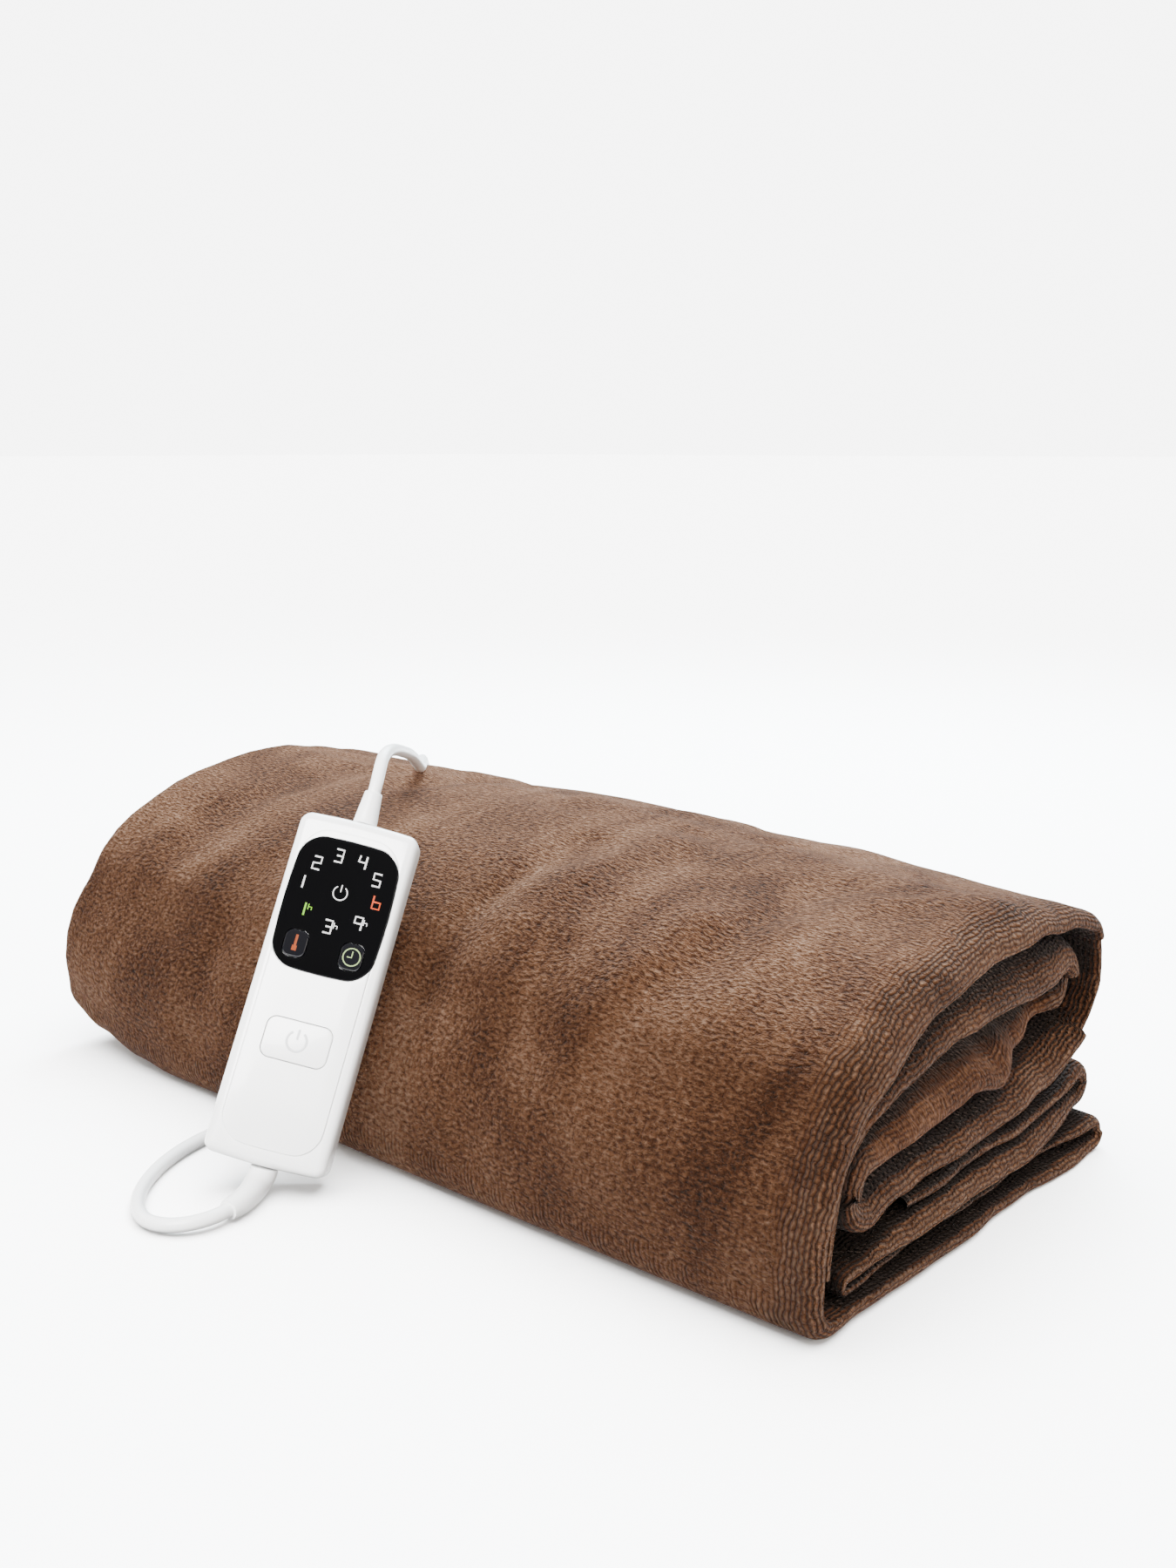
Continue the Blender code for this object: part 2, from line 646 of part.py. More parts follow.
def make_plug(body, metal):
    """The plug on its back with its pins up, each root in a pocket of the face."""
    neck = PLUG_NECK / 2
    wide = PLUG_WIDTH / 2
    side = [(0.0, neck), (0.010, neck + 0.002), (0.020, wide - 0.003), (0.026, wide), (0.040, wide)]
    side += [(0.044, wide - 0.0025), (PLUG_LENGTH, wide - 0.007)]
    edge = [Vector(point) for point in side] + [Vector((x, -y)) for x, y in reversed(side)]
    inset = [Vector((min(max(p.x, 0.0015), PLUG_LENGTH - 0.0015), p.y * 0.94)) for p in edge]
    z = PLUG_THICKNESS
    rings = []
    for points, height in ((inset, 0.0), (edge, 0.0015), (edge, z - 0.0015), (inset, z)):
        rings.append([(PLUG_AT[0] + p.x, PLUG_AT[1] + p.y, GAP + height) for p in points])
    plug = loft("plug_body", rings, body)
    face = GAP + z
    for pin in PINS:
        x, y = PLUG_AT[0] + pin.x, PLUG_AT[1] + pin.y
        long, wide = (pin.width, PIN_THICKNESS) if pin.name != "pin_earth" else (PIN_THICKNESS, pin.width)
        tip = outline(wide - 0.0012, long - 0.0012, 0.0004, corner_steps=1, edge_steps=1)
        full = outline(wide, long, 0.0006, corner_steps=1, edge_steps=1)
        pocket = outline(wide + 2 * GAP, long + 2 * GAP, 0.0008, corner_steps=1, edge_steps=1)
        levels = ((full, face - PIN_ROOT), (full, face + pin.length - 0.001), (tip, face + pin.length))
        loft(pin.name, [[(x + p.x, y + p.y, h) for p in points] for points, h in levels], metal)
        levels = ((pocket, face - PIN_ROOT - GAP), (pocket, face + 0.001))
        hole = [[(x + p.x, y + p.y, h) for p in points] for points, h in levels]
        cut(plug, loft(pin.name + "_pocket", hole, body))


def main():
    clear_scene()
    fleece = material("brown plush", (0.145, 0.075, 0.046), 0.95)
    white = material("white moulded plastic", (0.86, 0.86, 0.85), 0.25)
    glass = material("black lens", (0.006, 0.006, 0.009), 0.08)
    rubber = material("white flexible plastic", (0.84, 0.84, 0.83), 0.45)
    metal = material("brass pin", (0.75, 0.62, 0.35), 0.3, 1.0)
    make_throw(fleece)
    frame = make_handset(white, glass, white)
    make_leads(frame, rubber)
    make_coil(rubber)
    make_connector(white)
    make_plug(white, metal)


main()
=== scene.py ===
"""An electric heated throw, folded into a bundle, with its handset leaning on the front.

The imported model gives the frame. Each piece below is placed in its metres: X along the bundle,
Y from its front to its back, Z up from the surface that it lies on. The handset's pieces are
modelled in the handset's own frame (x across its face, y from the face to the back, z along it)
and are put in place at the end.
"""

import json
from collections import namedtuple
from functools import partial
from itertools import accumulate
from math import ceil, cos, pi, radians, sin, sqrt, tan

import bmesh
import bpy
from mathutils import Euler, Matrix, Vector, noise
from mathutils.bvhtree import BVHTree

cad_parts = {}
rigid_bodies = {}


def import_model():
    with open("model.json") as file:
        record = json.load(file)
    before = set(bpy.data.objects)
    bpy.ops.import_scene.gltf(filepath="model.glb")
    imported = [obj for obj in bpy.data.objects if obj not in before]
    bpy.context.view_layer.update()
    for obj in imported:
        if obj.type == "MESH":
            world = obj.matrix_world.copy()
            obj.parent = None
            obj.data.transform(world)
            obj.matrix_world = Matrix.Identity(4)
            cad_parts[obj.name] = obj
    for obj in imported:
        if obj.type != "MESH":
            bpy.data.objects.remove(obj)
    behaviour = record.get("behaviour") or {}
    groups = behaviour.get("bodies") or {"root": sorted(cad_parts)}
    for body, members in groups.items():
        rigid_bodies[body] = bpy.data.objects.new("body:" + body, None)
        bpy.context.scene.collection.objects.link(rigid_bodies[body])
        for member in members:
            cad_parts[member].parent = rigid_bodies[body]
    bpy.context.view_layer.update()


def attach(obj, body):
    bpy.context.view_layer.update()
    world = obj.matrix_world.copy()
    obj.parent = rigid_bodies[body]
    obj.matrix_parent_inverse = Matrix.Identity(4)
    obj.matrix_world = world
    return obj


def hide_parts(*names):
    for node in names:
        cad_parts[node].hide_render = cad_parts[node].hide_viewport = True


bl_info = {
    "name": "Electric heated throw",
    "version": (1, 0, 0),
    "blender": (4, 5, 0),
    "location": "View3D > Sidebar > Heated throw",
    "description": "Builds a folded plush heated throw with its handset and leads",
    "category": "Object",
}

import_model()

BUNDLE = "bundle"
GAP = 0.0003  # the seam between two pieces of a moulding
FOCAL_SHARE = 1893 / 1800  # the camera's focal length, as a share of the picture's height
CAMERA_AT = (0.4597, -0.5062, 0.28)
CAMERA_PITCH = radians(11.6)
CAMERA_TURN = radians(41.0)

# The bundle's folds ------------------------------------------

LEFT_END = -0.217
RIGHT_END = 0.205
RECESS_LENGTH = 0.05  # a recessed layer draws back over this length before the right end
PRESSED_HEIGHT = 0.12  # the lift under the left end has died out at this height

# The folded path of the cloth across the bundle, from the hem that ends inside the lower stack to
# the hem that ends inside the front. A row is a fold or a bend: where its two runs would meet,
# the radius of the bend, the thickness of the folded cloth there, how far its edge stands short
# of the right end, to which side its rounded edge droops (-1 or 1, 0 for neither), and the share
# of its thickness that it loses at the right end, where the layers draw apart.
Fold = namedtuple("Fold", "y z bend thick short droop thin")
FOLDS = [Fold(*row) for row in (
    (-0.04, 0.0258, 0, 0.006, 0.006, -0.6, 0.3),  # hem, inside the lower stack
    (0.05, 0.0262, 0.06, 0.0066, 0.006, -0.7, 0.3),
    (0.073, 0.0278, 0.03, 0.0062, 0.006, -0.7, 0.3),
    (0.103, 0.034, 0.006, 0.0106, 0.006, 0, 0.2),  # upper round fold at the back
    (0.103, 0.0214, 0.006, 0.0106, 0.006, 0.2, 0.2),
    (0.074, 0.0204, 0.03, 0.0078, 0.004, 0.8, 0.04),
    (0.05, 0.0183, 0.06, 0.0086, 0.003, 0.8, 0),
    (-0.038, 0.0178, 0.06, 0.0082, 0.002, 0.8, 0),
    (-0.083, 0.0154, 0.0026, 0.0046, 0.003, 0.3, 0.15),  # fold inside the front
    (-0.083, 0.0101, 0.0026, 0.0046, 0.003, 0, 0.3),
    (-0.04, 0.0104, 0.06, 0.0052, 0.006, -0.6, 0.45),
    (0.06, 0.0104, 0.06, 0.0052, 0.006, -0.6, 0.45),
    (0.104, 0.0119, 0.0041, 0.0074, 0.001, 0, 0.2),  # lower round fold at the back
    (0.104, 0.0037, 0.0041, 0.0074, 0, 0.3, 0.2),
    (-0.103, 0.0037, 0.01, 0.0074, 0, -0.9, 0.05),  # front edge on the surface
    (-0.102, 0.045, 0.045, 0.0096, 0, -0.9, 0.2),  # front
    (-0.0715, 0.0802, 0.045, 0.0178, 0, -0.9, 0.2),
    (-0.038, 0.0968, 0.08, 0.017, 0, -0.9, 0.2),
    (0.018, 0.1052, 0.1, 0.0168, 0, -0.9, 0.22),  # top
    (0.048, 0.1032, 0.06, 0.0134, 0.001, -0.9, 0.35),
    (0.074, 0.0998, 0.04, 0.01, 0.001, -0.9, 0.3),
    (0.097, 0.094, 0.011, 0.0098, 0.001, -0.8, 0.3),  # top back edge
    (0.103, 0.079, 0.03, 0.0094, 0.003, -0.5, 0.42),
    (0.099, 0.06, 0.03, 0.0104, 0.004, -0.3, 0.42),  # back
    (0.088, 0.0505, 0.02, 0.013, 0.002, 0.2, 0.4),
    (0.068, 0.0416, 0.04, 0.018, 0.003, 0.8, 0.3),
    (0.043, 0.0394, 0.06, 0.0172, 0.003, 0.9, 0.27),
    (0.006, 0.0372, 0.08, 0.0138, 0.003, 0.9, 0.27),
    (-0.03, 0.0374, 0.08, 0.0132, 0.003, 0.9, 0.27),
    (-0.054, 0.0358, 0.03, 0.015, 0.003, 0.9, 0.27),
    (-0.077, 0.0294, 0.01, 0.0176, 0.003, 0.7, 0.2),  # big loop inside the front
    (-0.077, 0.049, 0.0098, 0.0152, 0.003, -0.5, 0.2),
    (-0.05, 0.0537, 0.06, 0.0178, 0.004, -0.9, 0.27),
    (-0.011, 0.0565, 0.08, 0.023, 0.004, -0.9, 0.3),
    (0.02, 0.0582, 0.08, 0.0238, 0.004, -0.9, 0.3),
    (0.048, 0.0612, 0.05, 0.018, 0.01, -0.9, 0.32),
    (0.07, 0.0638, 0.03, 0.012, 0.015, -0.7, 0.3),
    (0.0868, 0.068, 0.0084, 0.0156, 0.01, -0.2, 0.25),  # round fold inside the back
    (0.0868, 0.0846, 0.0083, 0.0156, 0.004, 0.6, 0.12),
    (0.06, 0.0842, 0.05, 0.0184, 0.003, 0.9, 0.18),
    (0.01, 0.0832, 0.08, 0.023, 0.004, 0.9, 0.3),
    (-0.03, 0.078, 0.06, 0.0188, 0.004, 0.9, 0.32),
    (-0.052, 0.0722, 0.03, 0.0138, 0.004, 0.9, 0.3),
    (-0.0705, 0.0661, 0.012, 0.0096, 0.003, 0.5, 0.25),  # turns down inside the front
    (-0.0866, 0.0536, 0.014, 0.0076, 0.003, 0.2, 0.25),
    (-0.0924, 0.036, 0.02, 0.0074, 0.003, 0, 0.25),
    (-0.0936, 0.02, 0, 0.0068, 0.003, 0, 0.25),  # hem, inside the front
)]
FRONT_EDGE = 14  # the rows of the wrap that shows: from its front edge on the surface
BACK_EDGE = 23  # to the back
BEND_STEP = radians(14)  # a bend takes a row of the cloth for about each of these
SHOWN_STEP = 0.003  # between rows of the cloth where it shows
HIDDEN_STEP = 0.0056  # and where it doesn't
CLOSEST_ROWS = 0.0004

# How the section changes along the bundle: the height, the reach of its front and of its back,
# as shares of the path above, and the lift of its underside.
Section = namedtuple("Section", "x height front back lift")
SECTIONS = [Section(*row) for row in (
    (-0.217, 1.125, 0.98, 0.965, 0.015),
    (-0.195, 1.115, 0.992, 0.985, 0.0085),
    (-0.165, 1.106, 1, 0.995, 0.0025),
    (-0.14, 1.104, 1, 1, 0),
    (-0.1, 1.108, 0.998, 1.005, 0),
    (-0.035, 1.124, 0.992, 1.005, 0),
    (0.025, 1.118, 0.998, 1, 0),
    (0.08, 1.088, 1.002, 0.996, 0),
    (0.135, 1.056, 1.003, 1.002, 0),
    (0.182, 1.034, 1.001, 1, 0),
    (0.205, 1.012, 0.996, 0.995, 0),
)]
# The soft tent where the bundle lies over the mains lead.
TENT_X = -0.074
TENT_HALF_WIDTH = 0.019
TENT_LIFT = 0.0092
TENT_HEIGHT = 0.06
# The dent where the handset leans on the plump front.
DENT_X = -0.016
DENT_Z = 0.07
DENT_HALF_WIDTH = 0.085
DENT_HALF_HEIGHT = 0.06
DENT_DEPTH = 0.083  # as a share of the distance to the front

# The main creases and swellings of the cloth that shows: from one end to the other as
# (x, way up the wrap from its front edge), the half width and the height (a trough's is
# negative), all in metres.
Crease = namedtuple("Crease", "x0 way0 x1 way1 half height")
CREASES = [Crease(*row) for row in (
    (-0.14, 0.19, -0.11, 0.27, 0.02, 0.0026),  # ridge at the top left
    (-0.1, 0.17, -0.07, 0.27, 0.016, -0.003),
    (-0.165, 0.09, -0.15, 0.18, 0.022, -0.0022),
    (0.01, 0.06, 0.03, 0.15, 0.014, -0.0024),  # from the handset's dent
    (0.04, 0.095, 0.062, 0.175, 0.016, 0.0018),
    (0.05, 0.02, 0.07, 0.09, 0.017, -0.0016),
    (0.09, 0.05, 0.112, 0.12, 0.015, 0.002),
    (0.118, 0.09, 0.14, 0.17, 0.018, -0.002),
    (0.06, 0.18, 0.12, 0.235, 0.016, -0.0018),
    (-0.01, 0.185, 0.05, 0.23, 0.018, 0.0018),
    (0.14, 0.15, 0.196, 0.195, 0.012, 0.0012),
    (-0.07, 0.01, -0.045, 0.08, 0.018, 0.0018),
    (-0.12, 0.02, -0.105, 0.09, 0.02, -0.002),
)]
# Puckers in the folded edges at the right end: where on the bundle they are, as (y, z) on the
# path, how far along it they reach, their depth, and how far in from the end they die out.
Pucker = namedtuple("Pucker", "y z half depth reach")
PUCKERS = [Pucker(*row) for row in (
    (0.022, 0.0582, 0.011, -0.004, 0.03),
    (0.004, 0.0575, 0.009, 0.0018, 0.026),
    (-0.012, 0.081, 0.012, 0.0016, 0.024),
    (0.046, 0.0832, 0.013, -0.0018, 0.026),
    (-0.042, 0.0372, 0.01, -0.0014, 0.024),
    (0.052, 0.0396, 0.012, 0.0016, 0.026),
    (-0.004, 0.0372, 0.009, 0.0012, 0.022),
    (0.036, 0.0183, 0.012, -0.001, 0.024),
    (0.078, 0.0985, 0.01, 0.001, 0.03),
    (0.06, 0.1016, 0.01, -0.0012, 0.034),
)]

# A column of the cloth, from the hem on the outside at the left end to the hem inside: its ply
# (1 outer, 2 inner, 3 between them), its distance from the left end, and from the fold beside it.
Column = namedtuple("Column", "ply x edge side")
LIP_DEPTHS = (
    0, 0.0003, 0.0009, 0.0018, 0.003, 0.0044, 0.006, 0.008, 0.0105, 0.0135, 0.017, 0.021
)
LEFT_DEPTHS = (0, 0.001, 0.0026, 0.005, 0.0085, 0.013, 0.019)
OUTER_STEP = 0.0044
INNER_STEP = 0.015
HEM_BACK = 0.045  # how far from the right end the third ply ends
HEM_COLUMNS = 12

THIN_LENGTH = 0.034  # the layers draw apart over this length before the right end
HIDDEN_THIN = 1.35  # and where they don't show, this much more
HEM_TURN = 0.005  # how far from its edge the hem at the left end turns in
TURNED_IN = (0.26, 0.24)  # by this share of the thickness, on the outer and the inner ply
LIP_SHARE = 0.42  # where a rounded edge lies when it droops all the way

# The unevenness of soft cloth, as waves of (height, number in a metre, seed) along the path: how
# far the right end stands back, how plump a layer is and how far its edge droops. On the wrap they
# are (height, number along the bundle, number up the wrap, seed).
END_WAVES = ((0.0022, 26, 0.3), (0.001, 60, 2.3))
PLUMP_WAVES = ((0.1, 22, 7.7),)
DROOP_WAVES = ((0.16, 38, 4.1),)
WRAP_WAVES = ((0.0016, 14, 16, 1), (0.0006, 42, 46, 5))

OPENED_SHOWN = 0.025  # how far from the right end the rows of the knit show on the wrap
OPENED_HIDDEN = 0.07  # and on the layers inside it
OPENING_TURN = 0.5  # radians that the cloth turns where its pile is fully open
EDGE_PLACE = 0.6  # the place of the rounded edge in the pattern of the knit
# The layer inside the wrap that is between these heights, and no farther from the bundle's middle
# than this, keeps its pile flat.
SMOOTH_HEIGHTS = (0.05, 0.068)
SMOOTH_HALF_DEPTH = 0.072

# How closely the folds stand round a point is felt with rays, as long as SHELTER_REACH; the pile
# there is darkened with painted shade.
SHELTER_RAYS = 10
SHELTER_REACH = 0.03
SHELTER_LEANS = (1.3, 0.5)  # of the rays to the surface, in turn
SHELTER_FELT = (0.06, 0.4)  # the covered share that starts to shelter, and that shelters fully

# The handset -------------------------------------------------

HANDSET_PLACE = (
    Matrix.Translation((-0.0256, -0.1102, 0.0698))
    @ Euler([radians(turn) for turn in (-25.65, 12.59, 34.02)], "XYZ").to_matrix().to_4x4()
)
HANDSET_WIDTH = 0.0485
HANDSET_LENGTH = 0.1352
FACE_Y = -0.01
RAISED = 0.0005
PARTING_Y = -0.004
BACK_Y = 0.0095
END_BOW = 0.001
PANEL_SIZE = (0.0395, 0.003, 0.1226)
LENS_SIZE = (0.0392, 0.0018, 0.0514)
LENS_Z = 0.0327
LENS_CORNER = 0.0085
LENS_BOWS = (0.0015, 0.0011)
LENS_FRONT = FACE_Y - RAISED - 0.0003
VENTS = 6
VENT_SIZE = (0.018, 0.0016, 0.0012)
VENT_STEP = 0.0034
HIGHEST_VENT = 0.036
POWER_KEY_SIZE = (0.0262, 0.0026, 0.0158)
POWER_KEY_Z = -0.0208
SMALL_KEY_SIZE = (0.0092, 0.0026, 0.0104)
SMALL_KEY_AT = (0.0113, 0.0157)
SMALL_FRONT = LENS_FRONT - 0.0003
POWER_FRONT = FACE_Y - RAISED - 0.0001
BOW_CUTS = 6  # a bowed edge has this many straight lengths
MARK_DEPTH = 0.00012  # how far a printed mark stands on its face

# The leads ---------------------------------------------------

MAINS_DIAMETER = 0.0055
THROW_DIAMETER = 0.0052
RELIEF_Y = -0.002
HANDSET_END = HANDSET_LENGTH / 2 + END_BOW + GAP
RELIEF_START = 0.0028  # of each relief's length is straight
TOP_RELIEF = (  # the distance from the handset and the radius there
    (0, 0.0046), (0.0003, 0.0048), (0.003, 0.0046), (0.008, 0.0041), (0.012, 0.0037),
    (0.0131, 0.0036), (0.0135, 0.0033),
)
BOTTOM_RELIEF_RADII = (0.0056, 0.0042)  # where it starts and ends
LEAD_STEP = 0.003  # between the points of a lead
LEAD_INSIDE = 0.003  # of a lead is inside its relief
BOTTOM_RELIEF_ROUTE = (
    (-0.0166, -0.15, 0.0054), (-0.0136, -0.1548, 0.0051), (-0.0103, -0.1617, 0.005),
    (-0.0088, -0.1688, 0.0049),
)
MAINS_ROUTE = (
    (-0.0086, -0.1765, 0.0047), (-0.0116, -0.1837, 0.0042), (-0.0173, -0.189, 0.0036),
    (-0.0247, -0.1913, 0.0032), (-0.0317, -0.1904, 0.003), (-0.0396, -0.1868, 0.0029),
    (-0.0487, -0.1797, 0.0029), (-0.0577, -0.1692, 0.0029), (-0.0653, -0.1563, 0.0029),
    (-0.0709, -0.141, 0.0029), (-0.0739, -0.123, 0.0029), (-0.0745, -0.1, 0.0029),
    (-0.074, -0.05, 0.0029), (-0.074, 0, 0.0029), (-0.074, 0.06, 0.0029),
    (-0.0738, 0.108, 0.0029), (-0.07, 0.127, 0.0029), (-0.062, 0.142, 0.0029),
    (-0.0579, 0.1547, 0.003),
)
COIL_AT = (-0.022, 0.176)
COIL_RADIUS = 0.031  # at the middle of its turns
COIL_PITCH = 0.0057  # between turns that lie side by side
COIL_TURNS = 6  # besides the part of a turn that joins its ends
COIL_HEIGHTS = (0.0033, 0.0089)
TAIL_ROUTE = (
    (-0.0003, 0.2122, 0.0086), (0.013, 0.211, 0.0052), (0.027, 0.206, 0.0031),
    (0.04, 0.1998, 0.0046), (0.05, 0.1962, 0.008), (0.0572, 0.195, 0.0098),
    (0.0625, 0.195, 0.0101),
)
THROW_ROUTE = (
    (-0.038, -0.061, 0.1553), (-0.0475, -0.047, 0.1552), (-0.0617, -0.0273, 0.1496),
    (-0.0715, -0.0152, 0.1456), (-0.0815, -0.0034, 0.1408), (-0.0918, 0.0081, 0.1358),
    (-0.1024, 0.0194, 0.1312), (-0.1135, 0.0307, 0.1286), (-0.1249, 0.0419, 0.1277),
    (-0.1365, 0.0529, 0.1258), (-0.148, 0.0638, 0.1222), (-0.1595, 0.0747, 0.1192),
    (-0.1706, 0.0855, 0.1165), (-0.1812, 0.0961, 0.112), (-0.194, 0.111, 0.1),
    (-0.2, 0.119, 0.08), (-0.2, 0.1215, 0.056), (-0.1965, 0.121, 0.032), (-0.186, 0.1205, 0.015),
    (-0.17, 0.1186, 0.008), (-0.1515, 0.1176, 0.0073),
)
CONNECTOR_SIZE = (0.046, 0.018, 0.014)
CONNECTOR_LEFT = -0.1526
CONNECTOR_FRONT = 0.1086
CONNECTOR_GROOVES = ((0.0225, 0.0005), (0.031, 0.0012), (0.0345, 0.0012), (0.038, 0.0012))

PLUG_AT = (0.0615, 0.195)
PLUG_LENGTH = 0.046
PLUG_WIDTH = 0.05
PLUG_NECK = 0.026
PLUG_THICKNESS = 0.022
PLUG_CUTS = (0.006, 0.012, 0.018, 0.024, 0.03, 0.04)  # so that its sides can draw in
FUSE_COVER_SIZE = (0.007, 0.023, 0.0012)
FUSE_COVER_X = 0.0245
SLEEVE_LENGTH = 0.0088  # the live pins are sleeved for half their length
Pin = namedtuple("Pin", "name x y wide deep length")
PINS = (
    Pin("pin_line", 0.013, -0.0111, 0.00635, 0.004, 0.0177),
    Pin("pin_neutral", 0.013, 0.0111, 0.00635, 0.004, 0.0177),
    Pin("pin_earth", 0.0352, 0, 0.008, 0.004, 0.0227),
)

# Colours and materials ---------------------------------------


def linear(code):
    """A hex sRGB colour as linear red, green and blue."""
    parts = [int(code[i : i + 2], 16) / 255 for i in (1, 3, 5)]
    return tuple(p / 12.92 if p <= 0.04045 else ((p + 0.055) / 1.055) ** 2.4 for p in parts)


def add_node(tree, kind, *inputs, out=0, stops=(), **named):
    """Adds a node, such as "Math ADD", and gives one of its outputs.

    Its inputs come in order, or by name or "_number": each is a socket to link, a value or a
    colour. A name in small letters is a setting; stops are a ramp's places and colours."""
    kind, _, operation = kind.partition(" ")
    node = tree.nodes.new("ShaderNode" + kind)
    if operation:
        node.operation = operation
    given = dict(enumerate(inputs))
    for name, value in named.items():
        if name[0].islower():
            setattr(node, name, value)
        else:
            given[int(name[1:]) if name[0] == "_" else name.replace("_", " ")] = value
    for key, value in given.items():
        socket = node.inputs[key]
        if isinstance(value, bpy.types.NodeSocket):
            tree.links.new(value, socket)
        else:
            socket.default_value = (*value, 1.0) if socket.type == "RGBA" else value
    for _ in stops[2:]:
        node.color_ramp.elements.new(0.5)
    for element, (place, colour) in zip(node.color_ramp.elements if stops else (), stops):
        element.position = place
        element.color = (*colour, 1.0)
    return node.outputs[out] if len(node.outputs) else None


def make_material(name, pattern, *values):
    """A material with a Principled shader, whose inputs the pattern's function gives."""
    made = bpy.data.materials.new(name)
    made.use_nodes = True
    made.node_tree.nodes.clear()
    add = partial(add_node, made.node_tree)
    add("OutputMaterial", add("BsdfPrincipled", **pattern(add, *values)))
    return made


def plush(add, settings):
    """Knitted polyester plush, brushed. Its pile lies flat in fine tufts with lighter and darker
    brushed patches, and opens into rows of the knit where the cloth is folded over an edge. Shade
    is painted into its colour: darker where the pile is low, darkest in the gaps between the
    folds."""
    cloth = add("UVMap", uv_map="cloth")
    opened = add("Attribute", attribute_name="opened", out="Fac")
    gap_shade = add("Attribute", attribute_name="gap_shade", out="Fac")

    # The rows of the knit run up the cloth, each broken into tufts, and none runs quite straight:
    # it wanders about every 7 mm. Rows and tufts are a little coarser than real ones, to show.
    wander = add("TexNoise", cloth, Scale=140.0, Detail=3.0, Roughness=0.60)
    shake = add("Math SUBTRACT", wander, 0.5)
    shift = add("Math MULTIPLY", shake, 2.2)

    def cells(part, spacing, shift, power):
        """The number of each cell, this far apart, and the round height of the pile in it."""
        place = add("SeparateXYZ", cloth, out=part)
        place = add("Math MULTIPLY_ADD", place, 1 / spacing, shift)
        height = add("Math PINGPONG", place, 0.5)
        return add("Math FLOOR", place), add("Math POWER", height, power)

    row, row_height = cells(0, settings.rib_spacing, shift, 0.62)
    own = add("TexWhiteNoise", W=row, noise_dimensions="1D")
    shift = add("Math MULTIPLY_ADD", own, 9.0, shift)
    tuft, tuft_height = cells(1, settings.tuft_length, shift, 0.42)
    each = add("TexWhiteNoise", add("CombineXYZ", row, tuft), noise_dimensions="2D")
    tuft_height = add("Math MULTIPLY_ADD", tuft_height, 0.76, 0.16)
    tuft_height = add("Math MULTIPLY_ADD", each, 0.40, tuft_height)
    ribbed = add("Math MULTIPLY", add("Math MULTIPLY", row_height, 1.50), tuft_height)

    # Where it lies flat, the brushed pile makes short wavy dashes across the rows, about
    # 4 mm long and 1.6 mm high.
    dashes = add("Mapping", cloth, Scale=(400.0, 860.0, 1.0))
    brushed = add("TexNoise", dashes, Scale=1.0, Detail=2.0, Roughness=0.55, Distortion=0.35)
    lying = add("Math MULTIPLY_ADD", brushed, 1.9, -0.42, use_clamp=True)
    broken = add("Math MULTIPLY_ADD", shake, 1.9, opened)
    share = add("Math MULTIPLY_ADD", broken, 1.7, -0.35, use_clamp=True)
    height = add("Mix", share, _2=lying, _3=ribbed)

    # Hands leave lighter and darker strokes some centimetres across.
    strokes = add("Mapping", cloth, Scale=(26.0, 15.0, 1.0), Rotation=(0.0, 0.0, radians(24)))
    patches = add("TexNoise", strokes, Scale=1.0, Detail=2.5, Roughness=0.5, Distortion=0.6)
    patch = add("Math MULTIPLY_ADD", patches, 2.5, -0.76, use_clamp=True)
    # painted shade: where the pile is low, between its tufts and rows, its colour is darker
    share = add("Math MULTIPLY_ADD", patch, 0.34, add("Math MULTIPLY", height, 0.66))
    # painted shade: deep in the gaps between the folds the pile's colour is drawn down to the
    # darkest stop
    share = add("Math MULTIPLY", share, add("Math SUBTRACT", 1.0, gap_shade, use_clamp=True))
    stops = (
        (0.10, settings.pile_shade),
        (0.38, settings.pile_middle),
        (0.62, settings.pile_tip),
        (0.92, settings.pile_brushed),
    )
    depth = add("Math MULTIPLY_ADD", opened, 0.30, 0.70)
    return dict(
        Base_Color=add("ValToRGB", share, stops=stops),
        Normal=add("Bump", Height=height, Strength=depth, Distance=settings.pile_depth),
        Roughness=0.92, IOR=1.46, Specular_IOR_Level=0.15,
        Sheen_Weight=0.16, Sheen_Roughness=0.30, Sheen_Tint=settings.sheen,
    )


def plastic(add, colour, roughness, grain, depth, ior=1.53, coat=0.0, level=0.5):
    """A moulded plastic. A faint grain of the mould's surface, this far apart, breaks up its
    reflections, and its colour and gloss change a little over sixty times that length."""
    place = add("TexCoord", out="Object")
    fine = add("TexNoise", place, Scale=1 / grain, Detail=2.0)
    broad = add("TexNoise", place, Scale=1 / (grain * 60), Detail=1.0)
    darker = [part * 0.975 for part in colour]
    return dict(
        Base_Color=add("Mix", broad, _6=darker, _7=colour, data_type="RGBA", out=2),
        Roughness=add("Math MULTIPLY_ADD", broad, roughness * 0.3, roughness * 0.85),
        Normal=add("Bump", Height=fine, Strength=0.25, Distance=depth),
        IOR=ior, Coat_Weight=coat, Coat_Roughness=0.05, Specular_IOR_Level=level,
    )


def printed(add, colour, glow):
    """A printed figure with a light behind it: bright, and its ink, screened in dots of about
    0.7 mm, almost even."""
    ink = add("TexNoise", add("TexCoord", out="Object"), Scale=1400.0, Detail=1.0)
    darker = [part * 0.9 for part in colour]
    return dict(
        Base_Color=add("Mix", ink, _6=darker, _7=colour, data_type="RGBA", out=2),
        Roughness=0.4, IOR=1.5, Emission_Color=colour, Emission_Strength=glow,
    )


